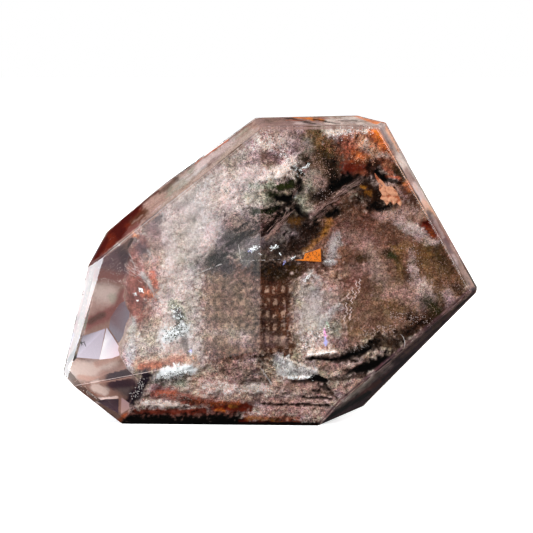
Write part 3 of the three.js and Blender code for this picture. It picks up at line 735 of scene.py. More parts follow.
# What shows through the narrow facets: the way the facet looks, the ground, the strip for blurred
# streaks (from (x, z) to (x, z), spread, how many, minerals) and the strokes
rims = {
    "shoulder": ((-0.59, -0.38, 0.71), "pink", (-14.5, 22.2, -1.5, 32.6, 0.6, 150,
                 ("sand", "cocoa", "heather", "brown", "frost", "pink", "sage", "lilac")), [
        (-9.0, 27.4, -3.0, 31.6, 1.5, "sand", 0.9, 0.5, 0.0),
        (-10.4, 26.2, -7.6, 28.4, 0.45, "frost", 0.5, 0.9, 0.0),
        (-11.4, 25.6, -11.0, 25.9, 0.25, "moss", 0.5, 0.9, 0.0),
        (-9.0, 27.8, -8.0, 28.6, 0.3, "sage", 0.7, 0.8, 0.0),
        (-8.0, 28.2, -6.0, 29.6, 0.5, "rose", 0.7, 0.9, 0.0),
        (-6.5, 29.4, -4.2, 31.0, 0.5, "lilac", 0.7, 0.8, 0.0),
        (-11.8, 25.0, -9.6, 26.6, 0.5, "sage", 0.6, 0.9, 0.0),
        (-5.2, 28.4, -2.0, 31.0, 0.36, "brown", 0.9, 0.7, 0.0),
        (-10.8, 26.9, -6.4, 30.2, 0.25, "cocoa", 0.7, 0.9, 0.0),
        (-6.4, 30.2, -2.4, 33.2, 0.3, "brown", 0.7, 0.9, 0.0),
        (-12.4, 25.4, -10.4, 26.9, 0.25, "umber", 0.7, 0.9, 0.0),
        (-13.6, 23.4, -12.0, 24.6, 0.9, "pink", 0.9, 0.7, 0.0),
        (-17.8, 20.6, -14.6, 23.2, 1.0, "darkRed", 1.0, 0.8, 0.0),
        (-17.4, 21.5, -14.4, 24.1, 0.36, "maroon", 1.0, 0.9, 0.0),
        (-14.8, 23.8, -12.6, 25.6, 0.22, "maroon", 0.9, 0.9, 0.0),
        (-17.8, 20.8, -14.8, 23.4, 0.35, "maroon", 0.9, 0.8, 0.0),
        (-15.2, 22.2, -13.8, 23.4, 0.4, "brown", 0.8, 0.8, 0.0),
        (-16.2, 20.6, -14.6, 21.8, 0.42, "wine", 0.9, 0.8, 0.0),
        (-17.5, 20.2, -16.6, 21.2, 0.7, "maroon", 1.0, 0.6, 0.0),
        (-19.4, 17.9, -17.9, 19.8, 1.0, "darkRed", 1.0, 0.6, 0.0),
        (-19.2, 18.4, -18.2, 20.2, 0.35, "maroon", 0.9, 0.7, 0.0),
        (-18.6, 18.6, -17.2, 19.6, 0.2, "wine", 0.7, 0.8, 0.0),
        (-8.4, 28.7, -4.9, 31.2, 0.16, "brick", 0.9, 0.9, 0.0),
        (-5.6, 31.0, -2.6, 33.0, 0.14, "redBrown", 0.7, 0.9, 0.0)]),
    "crown": ((0.03, -0.26, 0.97), "heather", (-1.5, 33.6, 12.4, 33.6, 0.5, 80,
              ("sand", "cocoa", "umber", "cream", "brick", "pink")), [
        (-1.4, 33.4, 2.6, 33.6, 0.9, "heather", 0.8, 0.8, 0.0),
        (-0.4, 33.8, 2.0, 33.9, 0.25, "cocoa", 0.8, 0.9, 0.0),
        (3.0, 33.2, 7.0, 33.0, 0.5, "rose", 0.8, 0.9, 0.0),
        (6.8, 33.6, 12.2, 33.2, 0.9, "cream", 0.95, 0.8, 0.0),
        (8.2, 33.5, 9.2, 33.3, 0.3, "heather", 0.7, 0.9, 0.0),
        (10.4, 33.4, 11.2, 33.2, 0.25, "sand", 0.8, 0.9, 0.0),
        (4.6, 34.2, 9.4, 34.35, 0.18, "olive", 0.9, 0.9, 0.0),
        (2.6, 34.2, 5.8, 33.8, 0.16, "fire", 0.85, 0.9, 0.0),
        (1.8, 34.1, 7.2, 32.9, 0.12, "darkUmber", 0.8, 0.9, 0.0),
        (3.4, 33.3, 8.6, 33.1, 0.10, "darkUmber", 0.8, 0.9, 0.0),
        (4.8, 33.9, 7.6, 33.4, 0.10, "darkUmber", 0.9, 0.8, 0.0),
        (9.2, 34.4, 12.6, 33.2, 0.25, "orange", 0.9, 0.8, 0.0)]),
    "right": ((0.71, -0.56, 0.43), "pink", (12.3, 32.4, 21.8, 15.4, 0.35, 60,
              ("sand", "heather", "rose", "slate", "plum", "peach")), [
        (12.4, 32.4, 15.0, 28.6, 0.9, "lilac", 0.95, 0.9, 0.0),
        (12.2, 32.0, 13.2, 30.2, 0.45, "plum", 0.6, 0.9, 0.0),
        (12.9, 32.2, 14.2, 30.0, 0.3, "peach", 0.9, 0.9, 0.0),
        (13.4, 29.8, 14.0, 28.8, 0.3, "pink", 0.7, 0.9, 0.0),
        (14.0, 29.0, 15.8, 27.4, 0.6, "cream", 0.7, 0.8, 0.0),
        (14.9, 27.6, 15.6, 26.4, 0.4, "heather", 0.8, 0.9, 0.0),
        (15.8, 26.0, 17.2, 24.2, 0.5, "rose", 1.0, 0.8, 0.0),
        (16.8, 24.2, 18.0, 23.2, 0.45, "peach", 0.6, 0.9, 0.0),
        (17.2, 23.0, 18.2, 21.9, 0.5, "darkPlum", 0.8, 0.8, 0.0),
        (17.9, 22.0, 19.2, 20.0, 0.6, "wine", 1.0, 0.8, 0.0),
        (18.4, 21.0, 18.8, 20.4, 0.3, "maroon", 0.5, 0.9, 0.0),
        (19.0, 19.6, 20.0, 18.0, 0.6, "heather", 0.8, 0.9, 0.0),
        (19.4, 18.7, 19.8, 18.0, 0.3, "slate", 0.6, 0.9, 0.0),
        (20.2, 17.6, 20.6, 17.0, 0.25, "white", 0.7, 0.8, 0.0),
        (20.6, 16.8, 22.0, 15.2, 0.6, "heather", 0.7, 0.9, 0.0),
        (18.9, 20.4, 20.6, 17.0, 0.35, "plum", 0.7, 0.9, 0.0),
        (20.0, 18.4, 20.4, 17.6, 0.25, "lilac", 0.8, 0.9, 0.0),
        (20.8, 16.4, 21.6, 15.4, 0.3, "slate", 0.7, 0.9, 0.0),
        (21.0, 16.0, 21.4, 15.4, 0.3, "plum", 0.7, 0.9, 0.0),
        (13.0, 32.6, 18.2, 23.6, 0.18, "orange", 0.6, 0.8, 0.0),
        (18.2, 23.6, 22.4, 15.6, 0.16, "peach", 0.6, 0.8, 0.0)]),
    "lower": ((0.62, -0.39, -0.68), "plum", (7.5, 1.8, 22.0, 14.4, 0.5, 90,
              ("darkPlum", "darkUmber", "black", "plum", "brown", "heather", "wine", "pink", "cocoa")), [
        (7.6, 1.9, 13.2, 6.3, 0.45, "lilac", 0.9, 0.9, 0.0),
        (8.2, 2.6, 11.4, 5.0, 0.22, "cream", 0.9, 0.9, 0.0),
        (11.6, 5.4, 15.4, 8.6, 0.16, "sand", 0.7, 0.9, 0.0),
        (12.8, 6.4, 17.0, 9.8, 0.14, "heather", 0.7, 0.9, 0.0),
        (9.4, 2.4, 13.6, 5.4, 0.35, "wine", 0.9, 0.9, 0.0),
        (6.4, 0.6, 11.0, 3.0, 0.35, "black", 0.9, 0.8, 0.0),
        (12.6, 4.6, 16.0, 7.4, 0.30, "darkPlum", 0.9, 0.9, 0.0),
        (14.6, 7.2, 18.8, 10.8, 0.22, "cocoa", 0.7, 0.9, 0.0),
        (10.6, 5.0, 18.6, 11.4, 0.10, "black", 0.8, 0.8, 0.0),
        (18.0, 10.4, 20.6, 12.8, 0.25, "taupe", 0.8, 0.9, 0.0),
        (20.0, 12.6, 21.6, 14.0, 0.3, "pink", 0.9, 0.8, 0.0)]),
}

# Painted reflections: the blurred picture that the clear window shows, painted on the wall at its back,
# which also gives off a painted glow
windowPaintedReflections = [
    (-18.6, 18.4, -16.0, 17.6, 1.6, "plum", 1.0, 0.8, 0.0),
    (-19.4, 16.4, -16.4, 16.0, 0.7, "wine", 0.8, 0.9, 0.0),
    (-16.4, 19.2, -15.4, 17.0, 0.6, "darkPlum", 0.6, 0.9, 0.0),
    (-19.4, 13.4, -17.4, 12.9, 0.8, "heather", 1.0, 0.9, 0.0),
    (-18.5, 14.3, -17.8, 14.2, 1.05, "paleSand", 1.0, 0.9, 0.0),
    (-17.4, 13.9, -17.2, 13.6, 0.5, "sage", 0.6, 0.9, 0.0),
    (-16.2, 14.2, -17.0, 12.4, 0.6, "wine", 0.9, 0.8, 0.0),
    (-17.4, 12.3, -20.6, 10.7, 0.75, "wine", 1.0, 0.7, 0.0),
    (-18.4, 12.0, -19.8, 11.2, 0.35, "umber", 0.7, 0.9, 0.0),
    (-20.3, 12.6, -19.6, 12.4, 0.5, "heather", 0.6, 0.9, 0.0),
    (-21.4, 5.9, -17.8, 6.3, 1.1, "paleSand", 1.0, 0.8, 0.0),
    (-19.0, 6.6, -16.4, 7.5, 0.4, "pink", 0.9, 0.9, 0.0),
    (-18.2, 5.2, -15.6, 6.0, 0.8, "heather", 1.0, 0.8, 0.0),
    (-20.8, 5.2, -18.6, 4.9, 0.3, "pink", 0.9, 0.8, 0.0),
    (-21.8, 4.1, -19.6, 2.7, 0.75, "redBrown", 1.0, 0.7, 0.0),
    (-21.6, 3.9, -19.4, 2.2, 0.4, "darkRed", 0.9, 0.8, 0.0),
    (-19.2, 4.1, -18.0, 3.6, 0.45, "paleSand", 0.9, 0.7, 0.0),
    (-16.6, 4.3, -15.6, 3.6, 0.9, "slate", 0.9, 0.8, 0.0),
    (-19.6, 2.6, -18.8, 2.1, 0.5, "wine", 0.9, 0.7, 0.0),
    (-18.6, 2.8, -16.8, 2.9, 0.16, "rose", 0.9, 0.6, 0.0),
    (-17.4, 4.3, -14.9, 4.6, 0.6, "darkPlum", 0.9, 0.8, 0.0),
    (-13.6, 5.6, -15.4, 2.4, 0.55, "paneNavy", 1.0, 0.8, 0.0),
    (-19.2, 2.2, -17.0, 0.7, 0.7, "paneNavy", 1.0, 0.5, 0.0),
    (-16.6, 0.4, -15.6, 1.0, 0.3, "redBrown", 0.9, 0.7, 0.0),
]


def bandPlane(normal, point):
    # a plane by its outward normal and a point on it, in mm
    unit = np.array(normal, float)
    unit /= np.linalg.norm(unit)
    return unit, float(unit @ np.array(point, float))


def windowWall():
    # the plane of the window's back wall; it faces the front left
    (x0, y0), (x1, y1) = gardenPart["windowBack"]
    return bandPlane((y1 - y0, x0 - x1, 0), (x0, y0, 0))


def facetFacing(direction):
    return max(facets, key=lambda facet: float(facet[0] @ np.array(direction)))


def windowEdge(z):
    return np.interp(z, [side[0] for side in windowSide], [side[1] for side in windowSide])


def bodyBehind(name, planes, outline=None, reach=70):
    # what lies behind all the planes, in mm, of a block or of a slab with this (x, z) outline that
    # goes this far forwards and back
    body = bmesh.new()
    if outline:
        rims = [[body.verts.new((x * mm, y * mm, z * mm)) for x, z in outline] for y in (-reach, reach)]
        for rim in rims:
            body.faces.new(rim)
        for i in range(len(outline)):
            j = (i + 1) % len(outline)
            body.faces.new((rims[0][i], rims[0][j], rims[1][j], rims[1][i]))
    else:
        bmesh.ops.create_cube(body, size=2 * reach * mm)
    for normal, distance in planes:
        direction = Vector(normal)
        cut = bmesh.ops.bisect_plane(
            body, geom=body.verts[:] + body.edges[:] + body.faces[:],
            plane_co=direction * distance * mm, plane_no=direction, clear_outer=True)
        rim = [e for e in cut["geom_cut"] if isinstance(e, bmesh.types.BMEdge)]
        bmesh.ops.contextual_create(body, geom=rim)
    bmesh.ops.recalc_face_normals(body, faces=body.faces)
    mesh = bpy.data.meshes.new(name)
    body.to_mesh(mesh)
    body.free()
    return mesh


def remeshed(mesh, size, hole=None):
    # the same body, less the hole, with evenly spaced points size mm apart
    carrier = bpy.data.objects.new("carrier", mesh)
    bpy.context.scene.collection.objects.link(carrier)
    if hole:
        bpy.context.scene.collection.objects.link(hole)
        carve = carrier.modifiers.new("carve", "BOOLEAN")
        carve.operation = "DIFFERENCE"
        carve.object = hole
    grid = carrier.modifiers.new("grid", "REMESH")
    grid.mode = "VOXEL"
    grid.voxel_size = size * mm
    graph = bpy.context.evaluated_depsgraph_get()
    fine = bpy.data.meshes.new_from_object(carrier.evaluated_get(graph))
    for used in (carrier, hole):
        if used:
            bpy.data.objects.remove(used)
    return fine


def gardenBody():
    # the stone's shape drawn in under each facet, less the window
    def cover(normal):
        return gardenPart["cover" if abs(normal[1]) > gardenPart["broadFacet"] else "rimCover"]
    rock = bodyBehind("rock", [(n, d - cover(n)) for n, d in facets])
    left = gardenPart["windowFloor"]
    kept = [facetFacing(gardenPart[side]) for side in ("underWindow", "overWindow")]
    outline = [*gardenPart["windowOuter"], *((x, z) for z, x in reversed(windowSide))]
    hole = bodyBehind("hole", [windowWall()] + [(n, d - left) for n, d in kept], outline, 30)
    return remeshed(rock, gardenPart["meshSize"], bpy.data.objects.new("hole", hole))


strokePart = {
    "steadyBelow": 1.1,           # mm, half-width below which a stroke's rim wanders less
    "softInwards": 0.75,          # how far a fully soft rim reaches, by the half-width
    "softOutwards": 0.5,
    # noise that moves the rims: size in mm, octaves, seed, and reach in mm; the last one frays them
    "drifts": ((3.0, 3, 11.0, 0.5), (2.6, 3, 37.0, 0.5), (0.5, 3, 5.0, 0.16), (0.5, 3, 8.0, 0.16),
               (0.35, 4, 14.0, 0.6)),
    "unseen": 0.002,              # share below which a point is left out
    "streakHalf": (0.3, 1.4),     # mm, half the length of a blurred streak
    "streakWidth": (0.05, 0.20),  # mm, its half-width
    "streakCover": (0.15, 0.5),
    "streakSoft": 0.9,
    "streaksOver": 3,             # one streak in so many lies over the strokes
}


def strokeShares(x, z, drift, stroke):
    # how much of each point a stroke of the landscape takes
    x0, z0, x1, z1, half, _, cover, soft, _ = stroke
    wander = min(1.0, half / strokePart["steadyBelow"])
    px = x + drift[0] * wander + drift[2] - x0
    pz = z + drift[1] * wander + drift[3] - z0
    dx, dz = x1 - x0, z1 - z0
    along = np.clip((px * dx + pz * dz) / max(dx * dx + dz * dz, 1e-6), 0, 1)
    reach = np.hypot(px - along * dx, pz - along * dz) / half * (1 + drift[4])
    rim = (1 - soft * strokePart["softInwards"], 1 + soft * strokePart["softOutwards"])
    return (1 - ramp(reach, *rim)) * cover


class Paint:
    # colour, graininess and relief of the garden's points, stroke by stroke
    def __init__(self, points):
        self.colour = np.tile(np.array(minerals["sand"][0][:3]), (len(points), 1))
        self.grain = np.ones(len(points))
        self.rise = np.zeros(len(points))
        self.glow = np.zeros(len(points))
        self.drift = np.array([
            ripple(points, size, octaves, seed) * reach
            for size, octaves, seed, reach in strokePart["drifts"]])

    def cover(self, share, mineral, rise=0.0, spots=slice(None)):
        colour, grain = minerals[mineral]
        self.colour[spots] += (np.array(colour[:3]) - self.colour[spots]) * share[:, None]
        self.grain[spots] += (grain - self.grain[spots]) * share
        self.rise[spots] += rise * share
        # the painted glow that this mineral's paint gives off
        self.glow[spots] += (paintedGlow.get(mineral, 0) - self.glow[spots]) * share

    def draw(self, x, z, strokes, visible, sway=1.0):
        spots = np.flatnonzero(visible > strokePart["unseen"])
        x, z, drift, visible = x[spots], z[spots], self.drift[:, spots] * sway, visible[spots]
        for stroke in strokes:
            self.cover(strokeShares(x, z, drift, stroke) * visible, stroke[5], stroke[8], spots)


def streaks(strip, strokes):
    # the strokes of a narrow facet with blurred streaks along it, most of them under the strokes
    x0, z0, x1, z1, spread, count, kinds = strip
    drawn = []
    for _ in range(count):
        share, side = chance.random(), chance.gauss(0, spread)
        length = math.hypot(x1 - x0, z1 - z0)
        ux, uz = (x1 - x0) / length, (z1 - z0) / length
        x, z = x0 + (x1 - x0) * share - uz * side, z0 + (z1 - z0) * share + ux * side
        half = chance.uniform(*strokePart["streakHalf"])
        drawn.append((
            x - ux * half, z - uz * half, x + ux * half, z + uz * half,
            chance.uniform(*strokePart["streakWidth"]), chance.choice(kinds),
            chance.uniform(*strokePart["streakCover"]), strokePart["streakSoft"], 0.0))
    late = count // strokePart["streaksOver"]
    return drawn[late:] + strokes + drawn[:late]


picturePart = {
    "turn": (-2.5, 3.5),         # mm, y where the back's picture begins and where it is all there
    "turnWander": 2,             # how far that line wanders, by the first drift
    "backSize": 0.95,            # the back's picture is the front's at this size
    "backShift": (3.0, 1.0),     # mm, moved by this
    "warpSize": 9.0,             # mm, and bent by noise of this size
    "warps": ((3.0, 4), (21.0, 3)),  # seed and reach in mm, along x and along z
    "haze": 0.07,                # cover of the haze over the left face
    "hazeLeft": (1.0, 1.2),      # mm left of the middle where it begins
    "hazeHigh": (8.0, 9.0),      # mm above the foot
    "rimDepth": (0.08, 0.3),     # mm under the cover where a narrow facet's picture fades away
    "rimSway": 0.5,              # how far its strokes wander
    "rimCalm": 0.65,             # how much of the grain it takes away
    "windowRim": (-0.15, 0.25),  # mm past the ragged side where the window's painted reflections begin
    "windowDepth": (0.3, 0.9),   # mm before its wall where it fades away
    "windowSway": 0.35,
    "windowCalm": 0.85,
}


def paintGarden(points):
    y = points[:, 1]
    x, z = seenFromFront(points)
    paint = Paint(points)
    behind = ramp(y + paint.drift[0] * picturePart["turnWander"], *picturePart["turn"])
    backX, backZ = (
        along * picturePart["backSize"] + shift + ripple(points, picturePart["warpSize"], 2, seed) * reach
        for along, shift, (seed, reach) in zip(
            (-points[:, 0], points[:, 2]), picturePart["backShift"], picturePart["warps"]))
    paint.draw(x, z, landscape, 1 - behind)
    paint.draw(backX, backZ, landscape, behind)
    haze = picturePart["haze"] * ramp(-x, *picturePart["hazeLeft"]) * ramp(z, *picturePart["hazeHigh"])
    paint.cover(haze * (1 - behind), "frost")
    inRims = np.zeros(len(points))
    for direction, ground, strip, strokes in rims.values():
        normal, distance = facetFacing(direction)
        under = 1 - ramp(distance - points @ normal - gardenPart["rimCover"], *picturePart["rimDepth"])
        paint.cover(under, ground)
        paint.draw(x, z, streaks(strip, strokes), under, picturePart["rimSway"])
        paint.grain *= 1 - under * picturePart["rimCalm"]
        inRims = np.maximum(inRims, under)
    wall, distance = windowWall()
    # the window's wall: it takes the painted reflections, and by the glow mask a painted glow
    far = ramp(windowEdge(points[:, 2]) - points[:, 0], *picturePart["windowRim"]) * (1 - inRims)
    far *= 1 - ramp(points @ wall - distance, *picturePart["windowDepth"])
    paint.cover(far, "cocoa")
    paint.draw(x, z, windowPaintedReflections, far, picturePart["windowSway"])
    paint.grain *= 1 - far * picturePart["windowCalm"]
    return paint, far


def insideStone(points, least):
    # pushes points back under the facets, with at least this much clear quartz over them; twice,
    # as a push from one facet can end before another
    kept = points.copy()
    for _ in range(2):
        for normal, distance in facets:
            over = kept @ normal - (distance - least)
            kept -= np.outer(np.maximum(over, 0), normal)
    return kept


grainLook = {
    # the paint's variation: size of the blotches in mm, strength, and whether the whole colour
    # varies alike or each of its parts by itself
    "hues": ((0.13, 2.2, "Fac"), (0.4, 1.3, "Fac"), (0.2, 0.2, "Color"), (0.9, 0.2, "Color"),
             (2.5, 0.25, "Color")),
    "grit": 0.2,                  # mm
    "dust": 0.12,                 # mm
    "flat": 0.22,                 # mm, grains of the layered foot
    "flatStretch": (0.35, 1.0, 1.7),
    "clots": 0.35,                # mm
    "tone": (0.4, 0.45, 0.6),     # what grains, dust and clots add to the tone
    "paleTone": (0.84, 1.05),     # tones from which a grain is pale, and as pale as can be
    "darkTone": (0.62, 0.40),
    "pale": 0.75,                 # how much the pale grains cover
    "paleHue": rgb(255, 236, 226),
    "paleGain": (1.65, 1.6, 1.55, 1),  # their own paint, made brighter
    "paleOwn": 0.92,              # how much of it they keep
    "dark": 0.8,
    "darkHue": rgb(24, 16, 12),
    "darkDeep": 0.8,              # how much of that colour they take
    "rough": 0.6,
    "palePolish": 0.25,           # how much smoother the pale grains are
    "relief": 0.10,               # mm
    # strength of the painted glow that the window's wall and the glowing minerals give off
    "glow": 0.35,
}

# The woven-looking patch: pale dashes in rows and columns, with dark knots between them
weaveLook = {
    "x": (-8.0, -6.4, 2.4, 3.2),  # mm, where it begins, is all there, starts to end, and ends
    "z": (7.6, 8.4, 15.2, 16.2),
    "front": (2, 5),              # mm before the origin where it begins and is all there
    "leftShare": 0.75,            # how much of it shows left of the ridge
    "ridge": (-2.0, -0.6),        # mm, x over which it grows to all of it
    "period": (0.86, 1.35),       # mm from dash to dash, along x and z
    "swaySize": 0.9,              # mm
    "sway": 7.5,                  # how far the columns sway
    "rowSway": 0.35,              # and the rows, by that
    "columnWidth": (-0.7, 0.7),   # values of the wave between which a dash fades in
    "rowWidth": (-0.7, 0.4),
    "patchSize": 0.45,            # mm
    "patchEdge": (0.42, 0.60),
    "threads": 0.72,              # how much the dashes cover
    "threadHue": rgb(206, 166, 142),
    "knots": 0.45,
    "knotHue": rgb(50, 28, 20),
    "knotDark": 0.7,
}


def weave(look, ground, woven):
    # pale dashes and dark knots over the ground
    part = weaveLook
    sway = look.mottle(part["swaySize"], 4, rough=0.75) * part["sway"]
    patchy = woven * look.mottle(part["patchSize"], 3, rough=0.75).step(*part["patchEdge"])
    columns = look.wave("X", part["period"][0], sway).step(*part["columnWidth"])
    rows = look.wave("Z", part["period"][1], sway * part["rowSway"]).step(*part["rowWidth"])
    dashes = columns * rows
    threads = look.mix(dashes * patchy * part["threads"], ground, part["threadHue"])
    return look.mix(
        (1 - dashes) * woven * part["knots"], threads,
        look.mix(part["knotDark"], threads, part["knotHue"]))


def gardenFinish():
    part = grainLook
    look = finishOf("mineral_garden")
    paint = look.tint("paint")
    amount = look.mask("grain")
    layered = look.mask("layered")
    grit = look.grains(part["grit"])
    dust = look.grains(part["dust"])
    flat = look.grains(part["flat"], part["flatStretch"])
    grain = grit * (1 - layered) + flat * layered
    clots = look.mottle(part["clots"], 3, rough=0.7)
    tone = grain * part["tone"][0] + dust * part["tone"][1] + clots * part["tone"][2]
    pale = tone.step(*part["paleTone"]) * amount
    dark = tone.step(*part["darkTone"]) * amount
    motley = look.mix(amount, paint, look.hues(paint, part["hues"]))
    own = look.mix(1.0, motley, part["paleGain"], "MULTIPLY")
    bright = look.mix(pale * part["pale"], motley, look.mix(part["paleOwn"], part["paleHue"], own))
    pitted = look.mix(dark * part["dark"], bright, look.mix(part["darkDeep"], bright, part["darkHue"]))
    return look.surface({
        "Base Color": weave(look, pitted, look.mask("woven")),
        "Roughness": part["rough"] - pale * part["palePolish"],
        "Specular IOR Level": 0.0, "Normal": look.bump(tone, part["relief"]),
        # painted glow: the paint given off as light where the glow mask says
        "Emission Color": look.mix(look.mask("glow"), (0, 0, 0, 1), paint),
        "Emission Strength": part["glow"]})


def partMesh(name, corners, faces, keep, colours, masks):
    # the faces marked in keep, with the points that they use
    chosen = faces[keep]
    used = np.unique(chosen)
    newIndex = np.full(len(corners), -1)
    newIndex[used] = np.arange(len(used))
    mesh = meshOf(name, (corners[used] * mm).tolist(), newIndex[chosen].tolist())
    setColours(mesh, "paint", colours[used])
    for key, values in masks.items():
        setMask(mesh, key, values[used])
    mesh.polygons.foreach_set("use_smooth", [True] * len(mesh.polygons))
    return mesh


reliefPart = {
    "lumps": (2.4, 0.40),         # mm, size and height of the large relief
    "crumbs": (0.55, 0.10),       # mm, and of the small one
    "strokes": 0.8,               # how far the strokes' own rise counts
    "windowCalm": 0.85,           # how much of the relief the window's wall lacks
    "sideShare": 0.35,            # how much of it the narrow sides have
    "broad": (0.6, 0.9),          # how much a place faces the front or back to have more, and all
    "hollow": (-0.55, -0.05),     # mm, relief at which a hollow's painted shade is darkest, and where it ends
    "hollowPaintedShade": 0.5,
    "layers": (-5.6, -4.6),       # mm, less z, where the foot's layers begin and are all there
}


def between(values, begin, full, wane, end):
    # 0 outside begin and end, 1 from full to wane
    return ramp(values, begin, full) * ramp(-values, -end, -wane)


def wovenShare(x, y, z):
    # how much of the weave each point shows
    woven = between(x, *weaveLook["x"]) * between(z, *weaveLook["z"])
    left = weaveLook["leftShare"]
    woven *= left + (1 - left) * ramp(x, *weaveLook["ridge"])
    return woven * ramp(-y, *weaveLook["front"])


def makeGarden():
    body = gardenBody()
    points = readFlat(body.vertices, "co", 3).astype(float) / mm
    normals = readFlat(body.vertices, "normal", 3).astype(float)
    faces = readFlat(body.polygons, "vertices", 4, np.int32)
    paint, far = paintGarden(points)
    print("landscape painted:", len(faces), "faces")
    relief = np.zeros(len(points))
    for seed, kind in enumerate(("lumps", "crumbs"), 1):
        size, height = reliefPart[kind]
        relief += ripple(points, size, 3, float(seed)) * height
    relief += paint.rise * reliefPart["strokes"]
    relief *= 1 - far * reliefPart["windowCalm"]
    broad = np.minimum(1, reliefPart["sideShare"] + ramp(np.abs(normals[:, 1]), *reliefPart["broad"]))
    moved = insideStone(points + normals * (relief * broad)[:, None], gardenPart["leastCover"])
    # painted shade: the paint is darkened in the hollows of the relief, away from the window
    hollow = (1 - ramp(relief, *reliefPart["hollow"])) * (1 - far)
    colours = paint.colour * (1 - reliefPart["hollowPaintedShade"] * hollow)[:, None]
    # the glow mask: painted glow on the window's wall and on the glowing minerals
    masks = {"grain": paint.grain, "woven": wovenShare(*points.T), "glow": np.maximum(far, paint.glow),
             "layered": ramp(-points[:, 2], *reliefPart["layers"])}
    middles = moved[faces].mean(1)
    level, rise = gardenPart["girdle"]
    front = middles[:, 1] < level + middles[:, 0] * rise
    left = middles[:, 0] < gardenPart["parting"]
    quarters = {"front_left": front & left, "front_right": front & ~left,
                "back_left": ~front & left, "back_right": ~front & ~left}
    for side, keep in quarters.items():
        name = "mineral_garden_" + side
        mesh = partMesh(name, moved, faces, keep, colours, masks)
        print(name, len(mesh.polygons), "faces")
        newPiece(name, mesh, [gardenLook])
    bpy.data.meshes.remove(body)
    return {"points": moved, "colours": colours, "grain": paint.grain, "far": far}


# Small things inside: grains, fibres, flakes and the bright, glowing panes of painted reflection in the
# window

class Pile:
    # small bodies gathered into one mesh, each with a mineral's colour
    def __init__(self):
        self.corners = []
        self.faces = []
        self.tints = []

    def add(self, corners, faces, colour):
        first = len(self.corners)
        self.corners += [tuple(c) for c in corners]
        self.faces += [[first + i for i in face] for face in faces]
        self.tints += [colour[:3]] * len(corners)

    def crumb(self, spot, size, colour):
        # a tiny, uneven crystal with eight faces, turned any way
        angle = chance.uniform(0, 6.3)
        turn = Matrix.Rotation(angle, 3, Vector((chance.uniform(-1, 1), 1, chance.uniform(-1, 1))))
        tips = [turn @ Vector(v) * chance.uniform(0.7, 1.3) * size for v in octahedron]
        self.add([tip + Vector(spot) for tip in tips], octahedronFaces, colour)

    def fibre(self, line, width, colour, thick=0.6):
        # a thread with three sides along a line of points, pointed at both ends; thick is its
        # thickness by its width
        line = [Vector(p) for p in line]
        corners = [line[0]]
        for before, here, after in zip(line, line[1:], line[2:]):
            side = (after - before).cross(Vector((0, 1, 0))).normalized() * width / 2
            corners += [here + side, here - side, here + Vector((0, width * thick, 0))]
        rings = len(line) - 2
        corners.append(line[-1])
        faces = [(0, 1 + a, 1 + (a + 1) % 3) for a in range(3)]
        for ring in range(rings - 1):
            first = 1 + ring * 3
            for a in range(3):
                b = (a + 1) % 3
                faces.append((first + a, first + 3 + a, first + 3 + b, first + b))
        last = 1 + (rings - 1) * 3
        faces += [(last + a, len(corners) - 1, last + (a + 1) % 3) for a in range(3)]
        self.add(corners, faces, colour)

    def plate(self, near, thick, colours):
        # a thin plate between these corners and the same ones further back
        near = [Vector(corner) for corner in near]
        count = len(near)
        corners = near + [corner + Vector((0, thick, 0)) for corner in near]
        sides = [(i, (i + 1) % count, (i + 1) % count + count, i + count) for i in range(count)]
        self.add(corners, [range(count), range(2 * count - 1, count - 1, -1)] + sides, (0, 0, 0))
        self.tints[-2 * count:] = [colour[:3] for colour in colours] * 2

    def piece(self, name, material):
        mesh = meshOf(name, np.array(self.corners) * mm, self.faces)
        setColours(mesh, "paint", np.array(self.tints))
        print(name, len(mesh.polygons), "faces")
        return newPiece(name, mesh, [material])


octahedron = [(1, 0, 0), (-1, 0, 0), (0, 1, 0), (0, -1, 0), (0, 0, 1), (0, 0, -1)]
octahedronFaces = [(0, 2, 4), (2, 1, 4), (1, 3, 4), (3, 0, 4), (2, 0, 5), (1, 2, 5), (3, 1, 5), (0, 3, 5)]


class FrontMap:
    # how far back the landscape lies, as the front shows it, on a grid
    cell = 0.2        # mm
    usual = 0.5       # mm under the facet, where the grid holds nothing
    deepest = 3       # mm under the facet that still counts as the front

    def __init__(self, points):
        self.depths = {}
        for x, y, z in points:
            key = self.keyOf(x, z)
            if y < self.depths.get(key, math.inf):
                self.depths[key] = y

    def keyOf(self, x, z):
        return round(x / self.cell), round(z / self.cell)

    def at(self, x, z):
        known = self.depths.get(self.keyOf(x, z))
        surface = frontDepth(x, z)
        return surface + self.usual if known is None or known > surface + self.deepest else known


fleckLook = {
    "dustSize": 0.12,            # mm
    "dustEdge": (0.35, 0.7),
    "dust": 0.35,                # how much it covers
    "dustHue": rgb(90, 70, 60),
    "smear": (0.2, 0.2),         # size in mm of blotches of other roughness, and how much rougher
}


def fleckFinish(name, rough, glow, share=1.0, shine=0.3):
    # paint under fine brown dust; share is how bright the paint is in the light that falls on it, and
    # glow how strongly the paint is given off as a painted glow
    part = fleckLook
    look = finishOf(name)
    paint = look.tint("paint")
    dust = look.mottle(part["dustSize"], 2).step(*part["dustEdge"]) * part["dust"]
    lit = look.mix(share, (0, 0, 0, 1), paint)
    size, rougher = part["smear"]
    return look.surface({
        "Base Color": look.mix(dust, lit, look.mix(0.5, paint, part["dustHue"])),
        "Roughness": rough + look.mottle(size, 2) * rougher, "Specular IOR Level": shine,
        "Emission Color": paint, "Emission Strength": glow})


grainPart = {
    "count": 7000,
    "size": (0.025, 0.060),       # mm
    "front": -1,                  # mm, y before which they lie
    "grainy": 0.25,               # the least graininess of the paint under them
    "outside": 0.1,               # the most of the window's painted reflections there
    "lifts": (0.05, 0.15, 0.35),  # how far a pale one goes towards cream
    "darkShare": 0.3,             # how many are dark instead
    "darkTone": 0.35,
}


